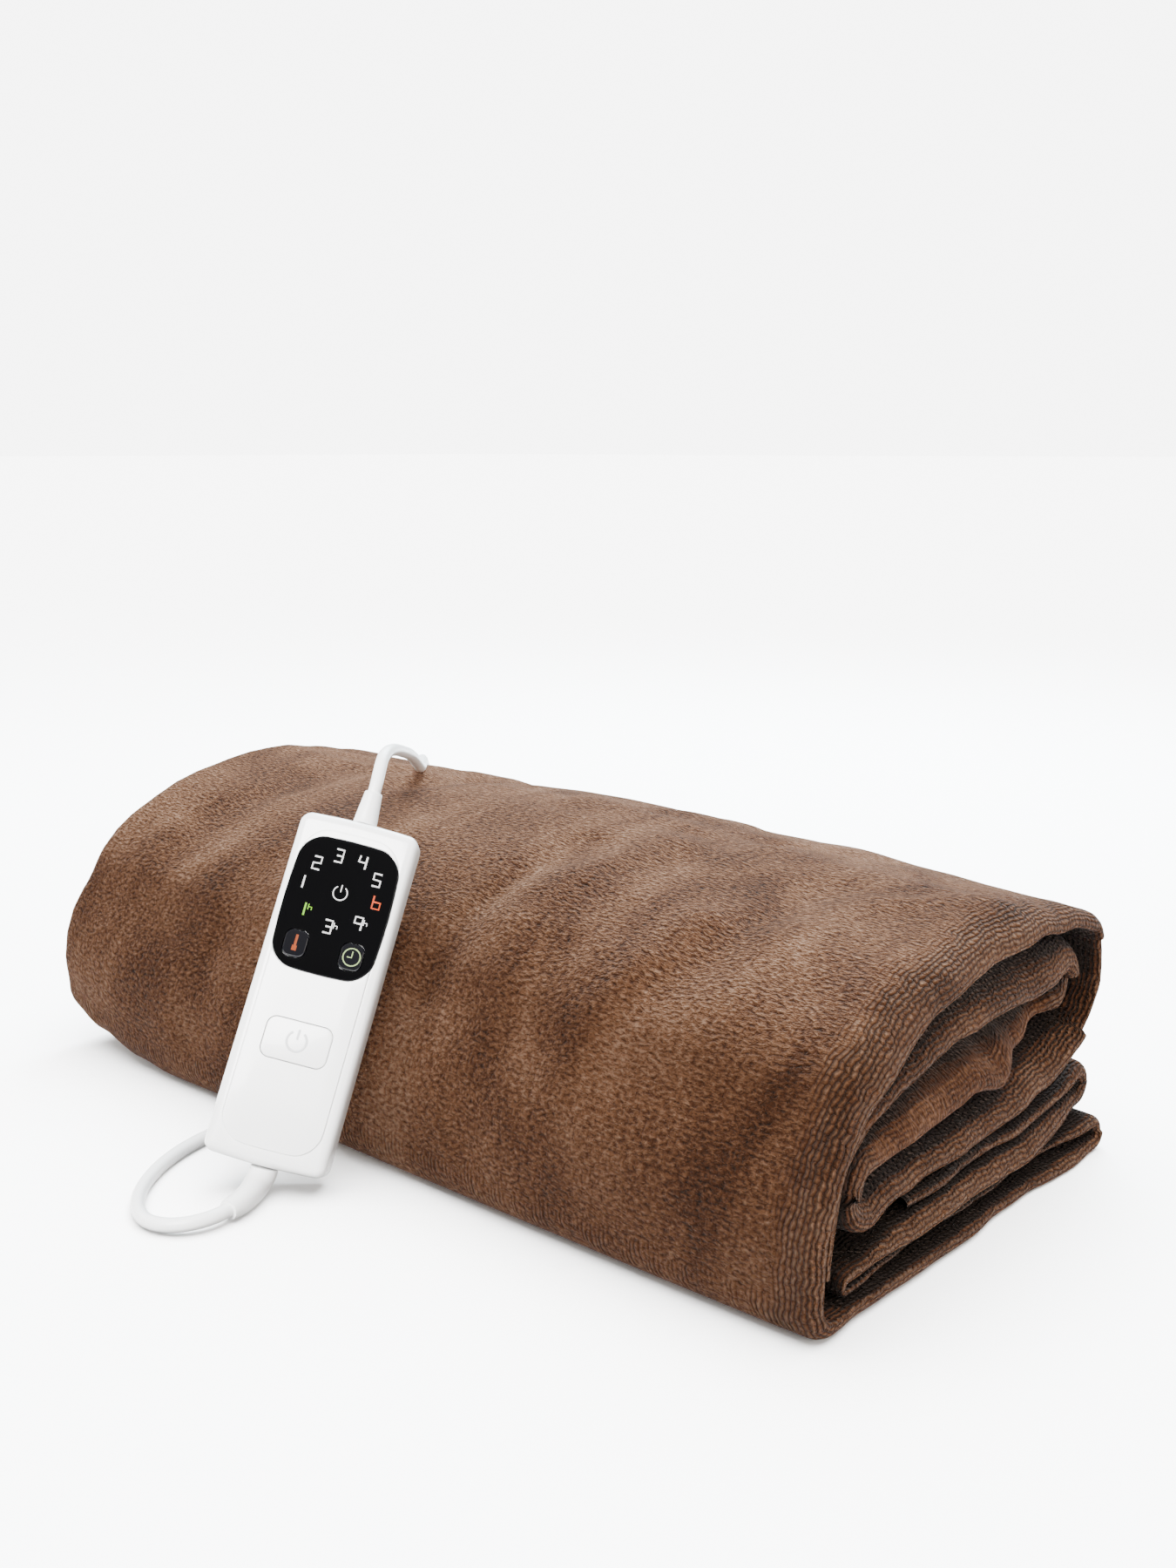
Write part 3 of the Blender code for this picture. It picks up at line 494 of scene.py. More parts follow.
def brass(add, colour, roughness):
    """Turned and polished brass, with the fine lines that the polishing leaves. They are drawn
    about 0.4 mm apart and 6 mm long, coarser than real ones, so that they show."""
    drawn_out = add("Mapping", add("TexCoord", out="Object"), Scale=(2500.0, 2500.0, 160.0))
    lines = add("TexNoise", drawn_out, Scale=1.0, Detail=2.0)
    return dict(
        Base_Color=colour, Metallic=1.0,
        Roughness=add("Math MULTIPLY_ADD", lines, roughness * 0.6, roughness * 0.7),
        Normal=add("Bump", Height=lines, Strength=0.12, Distance=0.0001),
    )


def strap(add, dark, light):
    """Woven nylon hook-and-loop strap, its loops dull and about 0.55 mm apart."""
    loops = add("TexVoronoi", add("TexCoord", out="Object"), Scale=1800.0)
    return dict(
        Base_Color=add("ValToRGB", loops, stops=((0.1, dark), (0.7, light))),
        Normal=add("Bump", Height=loops, Strength=0.5, Distance=0.0003),
        Roughness=0.85, Sheen_Weight=0.2,
    )


def paper(add, colour):
    """Matt white paper, with no gloss that would show where the lights are."""
    return dict(Base_Color=colour, Roughness=0.9, Specular_IOR_Level=0.1)


PLUSH = "brushed polyester plush"
HOUSING = "gloss white ABS housing"
WINDOW = "tinted acrylic window"
SMALL_KEYS = "tinted acrylic key"
SOFT_WHITE = "soft white PVC"
PLUG_WHITE = "white moulded plug"
SLEEVE = "black nylon sleeve"
BRASS = "brass plug pin"
STRAP = "black hook-and-loop strap"
EMBOSS_SHADE = "grey painted emboss shade"
PAPER = "matt white paper"
WHITE_PLASTICS = (HOUSING, SOFT_WHITE, PLUG_WHITE, EMBOSS_SHADE)


def finish_named(name):
    """A material that pieces share, made when it is first asked for."""
    found = bpy.data.materials.get(name)
    if found:
        return found
    scene = bpy.context.scene
    handset, leads = scene.handset_settings, scene.lead_settings
    # a plastic's values: colour, roughness, the mould's grain and its depth; IOR, coat, specular
    finishes = {
        PLUSH: (plush, scene.throw_settings),
        # from a polished mould: smooth, with clear soft highlights
        HOUSING: (plastic, handset.housing, 0.24, 0.0006, 0.00002, 1.53, 0.3),
        # cast sheet, printed black behind: flat, dark and almost a mirror
        WINDOW: (plastic, handset.window, 0.06, 0.0010, 0.00001, 1.49, 0.0, 0.10),
        # moulded, so a little softer in its gloss than the window round it
        SMALL_KEYS: (plastic, handset.small_key, 0.12, 0.0008, 0.00001, 1.49, 0.0, 0.30),
        # extruded round the wires: satin, with a soft sheen along the lead
        SOFT_WHITE: (plastic, leads.lead, 0.36, 0.0005, 0.00004),
        # from a finely eroded mould: satin, its highlights wide and weak
        PLUG_WHITE: (plastic, leads.plug, 0.34, 0.0007, 0.00005),
        # moulded on the pins: dull and nearly black
        SLEEVE: (plastic, linear("#1a1a1b"), 0.4, 0.0006, 0.00003),
        BRASS: (brass, leads.pin, 0.26),
        STRAP: (strap, linear("#151516"), linear("#4a4a4c")),
        PAPER: (paper, scene.stage_settings.floor),
        # the power sign is raised in the white key; its grey is painted shade of the raised ring
        EMBOSS_SHADE: (printed, linear("#c6c6c8"), 0.0),
        "white backlit print": (printed, handset.figures, 1.15),
        "orange backlit print": (printed, handset.hot_figure, 1.0),
        "dim amber backlit print": (printed, linear("#c05a2c"), 0.35),
        "green backlit print": (printed, handset.set_figure, 1.0),
        "pale green backlit print": (printed, handset.clock, 0.8),
    }
    return make_material(name, *finishes[name])


# Modelling ---------------------------------------------------


def done(piece, finish, body, slot=None, *nodes):
    """Gives a finished piece its material, its body and the nodes it stands for. Its slot is not
    used.
    """
    piece.data.materials.clear()
    piece.data.materials.append(finish_named(finish))
    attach(piece, body)
    if nodes:
        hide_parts(*nodes)
    return piece


def select(*pieces):
    """Selects these pieces alone, with the first one active."""
    bpy.ops.object.select_all(action="DESELECT")
    for piece in pieces:
        piece.select_set(True)
    if pieces:
        bpy.context.view_layer.objects.active = pieces[0]


def add_cube(name, size, at):
    """A block of this size and place, with the size in its mesh."""
    select()
    bpy.ops.mesh.primitive_cube_add(size=1.0, location=at, scale=size)
    piece = bpy.context.object
    piece.name = piece.data.name = name
    bpy.ops.object.transform_apply(location=True, rotation=True, scale=True)
    return piece


def edit(piece):
    """Edit mode on this piece alone, with nothing selected."""
    select(piece)
    bpy.ops.object.mode_set(mode="EDIT")
    bpy.ops.mesh.select_all(action="DESELECT")
    return bmesh.from_edit_mesh(piece.data)


def bevel(piece, picked, offset, segments):
    """Bevels the edges for which picked(edge) holds."""
    shape = edit(piece)
    bpy.ops.mesh.select_mode(type="EDGE")
    for edge in shape.edges:
        edge.select_set(bool(picked(edge)))
    bmesh.update_edit_mesh(piece.data)
    bpy.ops.mesh.bevel(offset=offset, segments=segments, profile=0.5, affect="EDGES")
    bpy.ops.object.mode_set(mode="OBJECT")


def slice_at(piece, axis, places):
    """Cuts the faces where the piece crosses these places, so that the edges can bow."""
    normal = [float(i == axis) for i in range(3)]
    for place in places:
        edit(piece)
        bpy.ops.mesh.select_all(action="SELECT")
        bpy.ops.mesh.bisect(plane_co=[place * part for part in normal], plane_no=normal)
        bpy.ops.object.mode_set(mode="OBJECT")


def running(axis, where=lambda at: True):
    """Picks the edges that run along this axis, where the test of their place holds."""

    def picked(edge):
        way = edge.verts[1].co - edge.verts[0].co
        return abs(way[axis]) > 0.999 * way.length and where(edge.verts[0].co)

    return picked


def rim_at(axis, *places):
    """Picks the edges on the rims of the flat faces at these places on the axis."""

    def picked(edge):
        if len(edge.link_faces) != 2 or not any(
            all(abs(vertex.co[axis] - place) <= 1e-6 for vertex in edge.verts) for place in places
        ):
            return False
        flat = [abs(face.normal[axis]) > 0.999 for face in edge.link_faces]
        return flat[0] != flat[1]

    return picked


def bow(piece, size, middle, side_bow, end_bow):
    """Bows the piece's sides and ends outwards."""
    width, length = size
    for vertex in piece.data.vertices:
        x, z = vertex.co.x - middle[0], vertex.co.z - middle[1]
        vertex.co.x += side_bow * (1 - (2 * z / length) ** 2) * (2 * x / width)
        vertex.co.z += end_bow * (1 - (2 * x / width) ** 2) * (2 * z / length) ** 3


def rounded_block(
    name, size, front, at, corner, rim=0.0, back_rim=0.0, bows=(0.0, 0.0), low_corner=None
):
    """A block in the handset's frame with round corners, eased rims and bowed edges.

    Its front is at y = front and its middle at (x, z) = at."""
    width, deep, length = size
    piece = add_cube(name, size, (at[0], front + deep / 2, at[1]))
    bevel(piece, running(1, lambda place: place.z > at[1]), corner, 8)
    low = at[1] - length * 0.49
    bevel(piece, running(1, lambda place: place.z < low), low_corner or corner, 8)
    if rim:
        bevel(piece, rim_at(1, front), rim, 5)
    if back_rim:
        bevel(piece, rim_at(1, front + deep), back_rim, 6)
    if any(bows):
        shares = [k / BOW_CUTS - 0.5 for k in range(1, BOW_CUTS)]
        slice_at(piece, 0, [at[0] + width * share for share in shares])
        slice_at(piece, 2, [at[1] + length * share for share in shares])
        bow(piece, (width, length), at, *bows)
    return piece


def widened(size, deep):
    """The size of the seat for a piece, with the gap all round it."""
    return (size[0] + 2 * GAP, deep, size[2] + 2 * GAP)


def carve(piece, cutter, operation="DIFFERENCE"):
    """Takes the cutter's shape out of the piece, or adds it, and removes the cutter."""
    pocket = piece.modifiers.new("pocket", "BOOLEAN")
    pocket.operation = operation
    pocket.solver = "EXACT"
    pocket.object = cutter
    select(piece)
    bpy.ops.object.modifier_apply(modifier=pocket.name)
    bpy.data.objects.remove(cutter, do_unlink=True)


def carve_small_seats(piece, front):
    """Cuts the seats of the two small keys into a piece of the handset."""
    for side in (-1, 1):
        at = (side * SMALL_KEY_AT[0], SMALL_KEY_AT[1])
        carve(piece, rounded_block("seat", widened(SMALL_KEY_SIZE, 0.0080), front, at, 0.0033))


def smooth(piece, degrees=35):
    select(piece)
    bpy.ops.object.shade_smooth_by_angle(angle=radians(degrees))
    return piece


def join(name, pieces):
    """Makes several loose shapes one piece."""
    select(*pieces)
    if len(pieces) > 1:
        bpy.ops.object.join()
    pieces[0].name = pieces[0].data.name = name
    return pieces[0]


def on_handset(piece, degrees=35):
    """Puts a piece that was modelled in the handset's frame in its place."""
    piece.data.transform(HANDSET_PLACE)
    return smooth(piece, degrees)


# Lines: leads, reliefs and printed strokes.


def distances(points):
    """How far along a line each of its points is."""
    return [0.0, *accumulate((b - a).length for a, b in zip(points, points[1:]))]


def smooth_line(route, spacing, steps=10):
    """Points an even distance apart on a smooth curve through the route's own points."""
    route = [Vector(point) for point in route]
    ends = [route[0] * 2 - route[1], *route, route[-1] * 2 - route[-2]]
    points = []
    for a, b, c, d in zip(ends, ends[1:], ends[2:], ends[3:]):
        for k in range(steps):
            t = k / steps
            bend = (a * 2 - b * 5 + c * 4 - d) * t * t + (b * 3 - a - c * 3 + d) * t**3
            points.append((b * 2 + (c - a) * t + bend) / 2)
    points.append(route[-1])
    run = distances(points)
    count = max(2, round(run[-1] / spacing))
    even = []
    i = 0
    for k in range(count + 1):
        at = run[-1] * k / count
        while i < len(run) - 2 and run[i + 1] < at:
            i += 1
        share = (at - run[i]) / (run[i + 1] - run[i])
        even.append(points[i].lerp(points[i + 1], min(share, 1.0)))
    return even


def round_curve(name, points, radii, sides=4):
    """A round tube along the points, as a curve, with its radius at each."""
    line = bpy.data.curves.new(name, "CURVE")
    line.dimensions = "3D"
    line.bevel_depth = radii[0]
    line.bevel_resolution = sides
    line.use_fill_caps = True
    spline = line.splines.new("POLY")
    spline.points.add(len(points) - 1)
    for place, point, radius in zip(spline.points, points, radii):
        place.co = (*point, 1.0)
        place.radius = radius / radii[0]
    piece = bpy.data.objects.new(name, line)
    bpy.context.scene.collection.objects.link(piece)
    return piece


def to_mesh(piece):
    select(piece)
    bpy.ops.object.convert(target="MESH")
    return bpy.context.object


def stroke(points, level, width):
    """A stroke through (x, z) points, print on the window and painted shade on the power key: a
    round line pressed flat on the face at level.
    """
    points = [Vector((x, level, z)) for x, z in points]
    line = to_mesh(round_curve("stroke", points, [width / 2] * len(points), 2))
    for vertex in line.data.vertices:
        vertex.co.y = level + (vertex.co.y - level) * MARK_DEPTH / (width / 2)
    return line


def arc(middle, radius, start, end, steps=28):
    """Points on an arc, in degrees from the handset's top, clockwise."""
    turns = [radians(start + (end - start) * k / steps) for k in range(steps + 1)]
    return [(middle[0] + radius * sin(turn), middle[1] + radius * cos(turn)) for turn in turns]


# The cloth ---------------------------------------------------


def swell(away):
    """A smooth swelling: 1 in the middle, 0 from 1 away on either side."""
    return 0.5 + 0.5 * cos(pi * away) if abs(away) < 1 else 0.0


def ease(share):
    """From 0 to 1, slowly at both ends."""
    share = min(max(share, 0.0), 1.0)
    return share * share * (3 - 2 * share)


def wavy(waves, along):
    """The sum of these waves, this far along the path."""
    return sum(height * noise.noise((along * often, seed, 0.0)) for height, often, seed in waves)


def section_at(x, column):
    """A column of the table of sections at x, eased from row to row."""
    for low, high in zip(SECTIONS, SECTIONS[1:]):
        if x <= high.x:
            share = ease((x - low.x) / (high.x - low.x))
            return getattr(low, column) * (1 - share) + getattr(high, column) * share
    return getattr(SECTIONS[-1], column)


def bend_points(before, at, after):
    """The round bend at one fold, as (y, z) points."""
    here = Vector(at[:2])
    arrive = (here - Vector(before[:2])).normalized()
    leave = (Vector(after[:2]) - here).normalized()
    turn = arrive.angle(leave)
    start = here - arrive * at.bend * tan(turn / 2)
    inward = (leave - arrive * cos(turn)) / sin(turn)
    steps = ceil(turn / BEND_STEP)
    angles = [turn * k / steps for k in range(steps + 1)]
    return [start + at.bend * (arrive * sin(a) + inward * (1 - cos(a))) for a in angles]


Station = namedtuple("Station", "middle thick short droop thin shown")


def blended(a, b, share, shown):
    """The station this share of the way between two others."""
    eased = [low + (high - low) * ease(share) for low, high in zip(a[1:5], b[1:5])]
    return Station(a.middle.lerp(b.middle, share), *eased, shown)


def folded_path():
    """The stations along the cloth's middle line, close together where it shows."""
    rough = [Station(Vector(FOLDS[0][:2]), *FOLDS[0][3:], False)]
    for i in range(1, len(FOLDS) - 1):
        shown = FRONT_EDGE <= i < BACK_EDGE
        for point in bend_points(*FOLDS[i - 1 : i + 2]):
            rough.append(Station(point, *FOLDS[i][3:], shown))
    rough.append(Station(Vector(FOLDS[-1][:2]), *FOLDS[-1][3:], False))
    path = [rough[0]]
    for station in rough[1:]:
        last = path[-1]
        away = (station.middle - last.middle).length
        if away < CLOSEST_ROWS:
            continue
        shown = station.shown and last.shown
        count = ceil(away / (SHOWN_STEP if shown else HIDDEN_STEP))
        path += [blended(last, station, k / count, shown) for k in range(1, count)]
        path.append(station)
    return path


def warped(x, y, z):
    """A point of the path's section, moved to the section at x."""
    raised = z * section_at(x, "height")
    raised += section_at(x, "lift") * max(0.0, 1 - z / PRESSED_HEIGHT)
    raised += TENT_LIFT * swell((x - TENT_X) / TENT_HALF_WIDTH) * max(0.0, 1 - z / TENT_HEIGHT)
    reach = section_at(x, "front" if y < 0 else "back")
    if y < 0:
        beside = swell((x - DENT_X) / DENT_HALF_WIDTH)
        reach -= DENT_DEPTH * beside * swell((z - DENT_Z) / DENT_HALF_HEIGHT)
    return y * reach, raised


def crease_height(x, way):
    """How far the listed creases lift or lower the cloth at x, this way up the wrap."""
    total = 0.0
    for crease in CREASES:
        run = Vector((crease.x1 - crease.x0, crease.way1 - crease.way0))
        here = Vector((x - crease.x0, way - crease.way0))
        share = here.dot(run) / run.length_squared
        beside = (here - run * min(max(share, 0.0), 1.0)).length
        total += crease.height * swell(beside / crease.half / (1.0 + 0.35 * sin(9 * share)))
    return total


def cloth_columns():
    """The columns of the cloth across its width, folded in three."""
    full = RIGHT_END - LEFT_END
    start, end = LEFT_DEPTHS[-1], full - LIP_DEPTHS[-1]

    def edge(ply, side, depths):
        return [Column(ply, full - d if side == "right" else d, d, side) for d in depths]

    def inside(ply, first, last, count):
        places = [first + (last - first) * k / count for k in range(1, count)]
        return [Column(ply, place, 1.0, "middle") for place in places]

    return [
        *edge(1, "left", LEFT_DEPTHS),
        *inside(1, start, end, ceil((end - start) / OUTER_STEP)),
        *edge(1, "right", LIP_DEPTHS[::-1]),
        *edge(2, "right", LIP_DEPTHS[1:]),
        *inside(2, end, start, ceil((end - start) / INNER_STEP)),
        *edge(2, "left", LEFT_DEPTHS[::-1]),
        *edge(3, "left", LEFT_DEPTHS[1::2]),
        *inside(3, start, full - HEM_BACK, HEM_COLUMNS),
        Column(3, full - HEM_BACK, 1.0, "middle"),
    ]


def round_off(depth, reach):
    """How far a rounded edge has risen at this depth: 0 at the edge, 1 from its reach on."""
    away = 1 - min(depth / max(reach, 1e-5), 1.0)
    return sqrt(max(0.0, 1 - away * away))


def across_share(column, station, along):
    """Where in the folded cloth's thickness a column runs, from -0.5 to 0.5."""
    face = 0.5 if column.ply == 1 else -0.5
    if column.ply == 3:
        turned_in = 1 - round_off(column.edge, 0.006) if column.side == "left" else 0.0
        return -0.10 - 0.16 * turned_in
    if column.side == "left":
        turned_in = TURNED_IN[column.ply - 1]
        return face - 2 * face * turned_in * (1 - round_off(column.edge, HEM_TURN))
    if column.side == "middle":
        return face
    lip = station.droop * (0.84 + wavy(DROOP_WAVES, along)) * LIP_SHARE
    reach = max(0.0016, station.thick * abs(face - lip) * 1.05)
    return lip + (face - lip) * round_off(column.edge, reach)


def shelter(mesh, near_end):
    """How closely other folds stand before each point near the right end: 0 open, 1 deep in a
    gap. Pile in there gets no light from anywhere, so its colour reads it."""
    tree = BVHTree.FromPolygons(
        [vertex.co for vertex in mesh.vertices], [face.vertices for face in mesh.polygons]
    )
    least, most = SHELTER_FELT
    found = []
    for vertex, near in zip(mesh.vertices, near_end):
        covered = 0.0
        if near:
            out = vertex.normal
            aside = out.orthogonal().normalized()
            across = out.cross(aside)
            for turn in range(SHELTER_RAYS):
                angle = 2 * pi * turn / SHELTER_RAYS
                lean = SHELTER_LEANS[turn % 2]
                way = (out + lean * (aside * cos(angle) + across * sin(angle))).normalized()
                gap = tree.ray_cast(vertex.co + out * 0.0006, way, SHELTER_REACH)[3]
                if gap is not None:
                    covered += (1 - gap / SHELTER_REACH) / SHELTER_RAYS
        found.append(ease((covered - least) / (most - least)))
    return found


def make_cloth():
    """The throw as one sheet: folded in three across, and back and forth along its length."""
    path = folded_path()
    columns = cloth_columns()
    along = distances([station.middle for station in path])

    def along_at(fold):
        """How far along the path the station nearest to this fold or pucker is."""
        spot = Vector((fold.y, fold.z))
        return along[min(range(len(path)), key=lambda i: (path[i].middle - spot).length)]

    start = along_at(FOLDS[FRONT_EDGE])
    wrap_start = along_at(FOLDS[FRONT_EDGE - 1])
    wrap_end = along_at(FOLDS[BACK_EDGE + 1])
    puckers = [(along_at(pucker), pucker) for pucker in PUCKERS]
    full = RIGHT_END - LEFT_END
    lip = next(j for j, column in enumerate(columns) if column.side == "right" and not column.edge)

    corners, opened, widths, near_end = [], [], [], []
    for i, (station, s) in enumerate(zip(path, along)):
        before, after = path[max(i - 1, 0)].middle, path[min(i + 1, len(path) - 1)].middle
        ahead = (after - before).normalized()
        behind = (before - path[max(i - 3, 0)].middle).normalized()
        turning = min(1.0, ahead.angle(behind, 0.0) / OPENING_TURN) if i > 3 else 0.0
        normal = Vector((-ahead.y, ahead.x))
        upward = 1 if ahead.x > 0 else -1
        way = s - start
        wave, plump = wavy(END_WAVES, s), wavy(PLUMP_WAVES, s)
        # the wrap keeps its outer side where it is as it thins, an inner layer its middle
        anchor = 0.5 * ease((s - wrap_start) / 0.02 + 0.5) * ease((wrap_end - s) / 0.03 + 0.5)
        low, high = SMOOTH_HEIGHTS
        smooth_layer = low < station.middle.y < high and abs(station.middle.x) < SMOOTH_HALF_DEPTH
        for column in columns:
            x = LEFT_END + column.x
            to_end = full - column.x
            drawn = max(0.0, 1 - to_end / RECESS_LENGTH)
            share = across_share(column, station, s)
            if column.side != "left":  # the layers draw apart towards the right end
                drawn_thin = station.thin * (1.0 if station.shown else HIDDEN_THIN)
                thin = 1 - drawn_thin * ease(1 - to_end / THIN_LENGTH)
                share = anchor + (share - anchor) * thin
            offset = station.thick * (1 + plump * drawn) * share
            for at, pucker in puckers:
                beside = swell((s - at) / pucker.half)
                if beside:
                    fade = swell(min(to_end / pucker.reach, 1.0))
                    offset += upward * pucker.depth * beside * fade * 0.7
            if column.ply == 1 and station.shown:  # the wrap's creases and small unevenness
                lift = crease_height(x, way) + sum(
                    height * noise.noise((x * often_x, way * often_way, seed))
                    for height, often_x, often_way, seed in WRAP_WAVES
                )
                inward = ease(way / 0.02) * ease((along[-1] - s) / 0.02)
                offset += lift * inward * ease(to_end / 0.012)
            place = station.middle + normal * offset
            y, z = warped(x, place.x, place.y)
            corners.append(Vector((x - (station.short - wave) * drawn, y, max(z, 0.0002))))
            near_end.append(column.ply != 3 and to_end < THIN_LENGTH)
            reach = OPENED_SHOWN if station.shown else OPENED_HIDDEN
            near_lip = swell(min(to_end / reach, 1.0)) if column.ply != 3 else 0.0
            if smooth_layer and not station.shown:
                near_lip *= 0.35
            opened.append(min(1.0, near_lip * 1.2 + 0.5 * turning))
        # the cloth's width is measured from the folded edge, so that the rows follow it
        width = distances(corners[-len(columns):])
        widths += [EDGE_PLACE + distance - width[lip] for distance in width]

    across = len(columns)
    faces = [
        (a, a + 1, a + across + 1, a + across)
        for i in range(len(path) - 1)
        for a in range(i * across, (i + 1) * across - 1)
    ]
    mesh = bpy.data.meshes.new("throw_cloth")
    mesh.from_pydata(corners, [], faces)
    layer = mesh.uv_layers.new(name="cloth")
    for loop in mesh.loops:
        at = loop.vertex_index
        layer.data[loop.index].uv = (widths[at], along[at // across])
    for name, values in (("opened", opened), ("gap_shade", shelter(mesh, near_end))):
        mesh.attributes.new(name, "FLOAT", "POINT").data.foreach_set("value", values)
    mesh.shade_smooth()
    piece = bpy.data.objects.new("throw_cloth", mesh)
    bpy.context.scene.collection.objects.link(piece)
    return piece


# Settings ----------------------------------------------------


def colour_property(name, description, code):
    return bpy.props.FloatVectorProperty(
        name=name, description=description, subtype="COLOR", size=3, min=0.0, max=1.0,
        default=linear(code),
    )


def size_property(name, description, default, low, high):
    return bpy.props.FloatProperty(
        name=name, description=description, default=default, min=low, max=high, unit="LENGTH",
    )


def power_property(name, description, default):
    return bpy.props.FloatProperty(name=name, description=description, default=default, min=0.0)


class ThrowSettings(bpy.types.PropertyGroup):
    rib_spacing: size_property(
        "Row spacing", "Distance between two rows of the knit", 0.0020, 0.001, 0.006
    )
    tuft_length: size_property(
        "Tuft length", "Length of a tuft of the pile along its row", 0.0029, 0.001, 0.008
    )
    pile_depth: size_property(
        "Pile depth", "Depth of the hollows between tufts", 0.0032, 0.0, 0.004
    )
    # the darkest stop: painted shade low in the pile and in the gaps between the folds
    pile_shade: colour_property("Root colour", "Colour deep in the pile", "#140a04")
    pile_middle: colour_property("Pile colour", "Colour of the pile", "#4e2e1b")
    pile_tip: colour_property("Tip colour", "Colour of the pile's tips", "#765138")
    pile_brushed: colour_property("Brushed colour", "Colour of the pile brushed up", "#9e7a62")
    sheen: colour_property("Sheen colour", "Tint of the sheen", "#e0c4b4")
    flat_size: bpy.props.FloatVectorProperty(
        name="Flat size", description="Width and length of the throw before it is folded",
        size=2, default=(1.20, 1.60), unit="LENGTH",
    )


class HandsetSettings(bpy.types.PropertyGroup):
    housing: colour_property("Housing", "Colour of the housing", "#f1f1f0")
    window: colour_property("Window", "Colour of the display window", "#07070a")
    small_key: colour_property("Small keys", "Colour of the keys in the window", "#0d0d18")
    figures: colour_property("Figures", "Colour of the white figures", "#ffffff")
    hot_figure: colour_property("Hot figure", "Colour of the highest setting", "#e4562a")
    set_figure: colour_property("Set figure", "Colour of the chosen time", "#8fdc3a")
    clock: colour_property("Clock", "Colour of the clock", "#c6e39a")
    digit_height: size_property(
        "Digit height", "Height of a figure on the window", 0.0050, 0.002, 0.01
    )


class LeadSettings(bpy.types.PropertyGroup):
    lead: colour_property("Lead", "Colour of the leads", "#efefee")
    plug: colour_property("Plug", "Colour of the plug and the connector", "#efefee")
    pin: colour_property("Pins", "Colour of the plug's pins", "#d9bd78")


class StageSettings(bpy.types.PropertyGroup):
    floor: colour_property("Floor", "Colour of the floor", "#f4f4f4")
    key_power: power_property("Top light", "Power of the soft light above", 64.0)
    side_power: power_property("Side light", "Power of the light on the folded end", 9.0)
    left_power: power_property("Left light", "Power of the light on the left end", 8.0)
    sky: power_property("Sky", "Strength of the light all round", 0.70)
    backdrop: power_property("Backdrop", "Brightness of the white behind the object", 6.8)
    floor_light: power_property("Floor light", "Strength of the light on the floor", 24.0)
    plastic_light: power_property("Plastic light", "Power of the light on white plastic", 84.0)


# Operators ---------------------------------------------------


class HEATEDTHROW_OT_camera(bpy.types.Operator):
    """The camera where the photograph was taken from"""

    bl_idname = "heatedthrow.camera"
    bl_label = "Camera"

    def execute(self, context):
        lens = bpy.data.cameras.new("camera")
        lens.sensor_width = 36.0
        lens.lens = FOCAL_SHARE * 36.0
        lens.clip_start = 0.01
        camera = bpy.data.objects.new("camera", lens)
        context.scene.collection.objects.link(camera)
        camera.location = CAMERA_AT
        pitch, turn = CAMERA_PITCH, CAMERA_TURN
        ahead = Vector((-sin(turn) * cos(pitch), cos(turn) * cos(pitch), -sin(pitch)))
        camera.rotation_euler = ahead.to_track_quat("-Z", "Y").to_euler()
        context.scene.camera = camera
        return {"FINISHED"}


def relief_line(side):
    """The straight start of a relief, out of the end of the handset."""
    ends = (HANDSET_END, HANDSET_END + RELIEF_START)
    return [HANDSET_PLACE @ Vector((0, RELIEF_Y, side * end)) for end in ends]


def bottom_relief(spacing):
    return smooth_line([*relief_line(-1), *BOTTOM_RELIEF_ROUTE], spacing)


def coil_line(start, end):
    """The turns of the wound lead, wound clockwise: outer to inner below, then back above."""
    middle = Vector(COIL_AT)
    first, last = Vector(start[:2]) - middle, Vector(end[:2]) - middle
    turn0, turn1 = (spoke.angle_signed(Vector((1, 0))) for spoke in (first, last))
    while turn1 > turn0:
        turn1 -= 2 * pi
    total = turn0 - turn1 + 2 * pi * COIL_TURNS
    slots = [(r, z) for z, order in zip(COIL_HEIGHTS, ((1, 0, -1), (-1, 0, 1))) for r in order]
    steps = 16 * (COIL_TURNS + 1)
    points = []
    for k in range(1, steps):
        share = k / steps * len(slots)
        i = min(int(share), len(slots) - 1)
        slot, later = Vector(slots[i]), Vector(slots[min(i + 1, len(slots) - 1)])
        column, level = slot.lerp(later, ease((share - i - 0.86) / 0.14))
        radius = COIL_RADIUS + column * COIL_PITCH
        radius += (first.length - radius) * max(0.0, 1 - k / 3) * 0.6
        radius += (last.length - radius) * max(0.0, 1 - (steps - k) / 3) * 0.6
        angle = turn0 - total * k / steps
        points.append((middle.x + radius * cos(angle), middle.y + radius * sin(angle), level))
    return points


def add_lead(name, route, diameter, *nodes):
    """A lead along this route."""
    line = smooth_line(route, LEAD_STEP)
    piece = round_curve(name, line, [diameter / 2] * len(line))
    piece["length"] = distances(line)[-1]
    return done(piece, SOFT_WHITE, BUNDLE, "flex", *nodes)


class HEATEDTHROW_OT_leads(bpy.types.Operator):
    """The mains lead with its wound length, and the lead over the bundle to the throw"""

    bl_idname = "heatedthrow.leads"
    bl_label = "Leads"

    def execute(self, context):
        before, tip = bottom_relief(0.0024)[-2:]
        onward = (tip - before).normalized()
        route = [tip - onward * LEAD_INSIDE, tip + onward * 0.001, *MAINS_ROUTE]
        route += [*coil_line(MAINS_ROUTE[-1], TAIL_ROUTE[0]), *TAIL_ROUTE]
        nodes = ("mains_lead", "mains_lead_tail", "mains_lead_coil")
        add_lead("mains_lead_line", route, MAINS_DIAMETER, *nodes)

        base, above = relief_line(1)
        up = (above - base).normalized()
        tip = base + up * TOP_RELIEF[-1][0]
        route = [tip - up * LEAD_INSIDE, tip + up * 0.004, *THROW_ROUTE]
        add_lead("throw_lead_line", route, THROW_DIAMETER, "throw_lead")
        return {"FINISHED"}


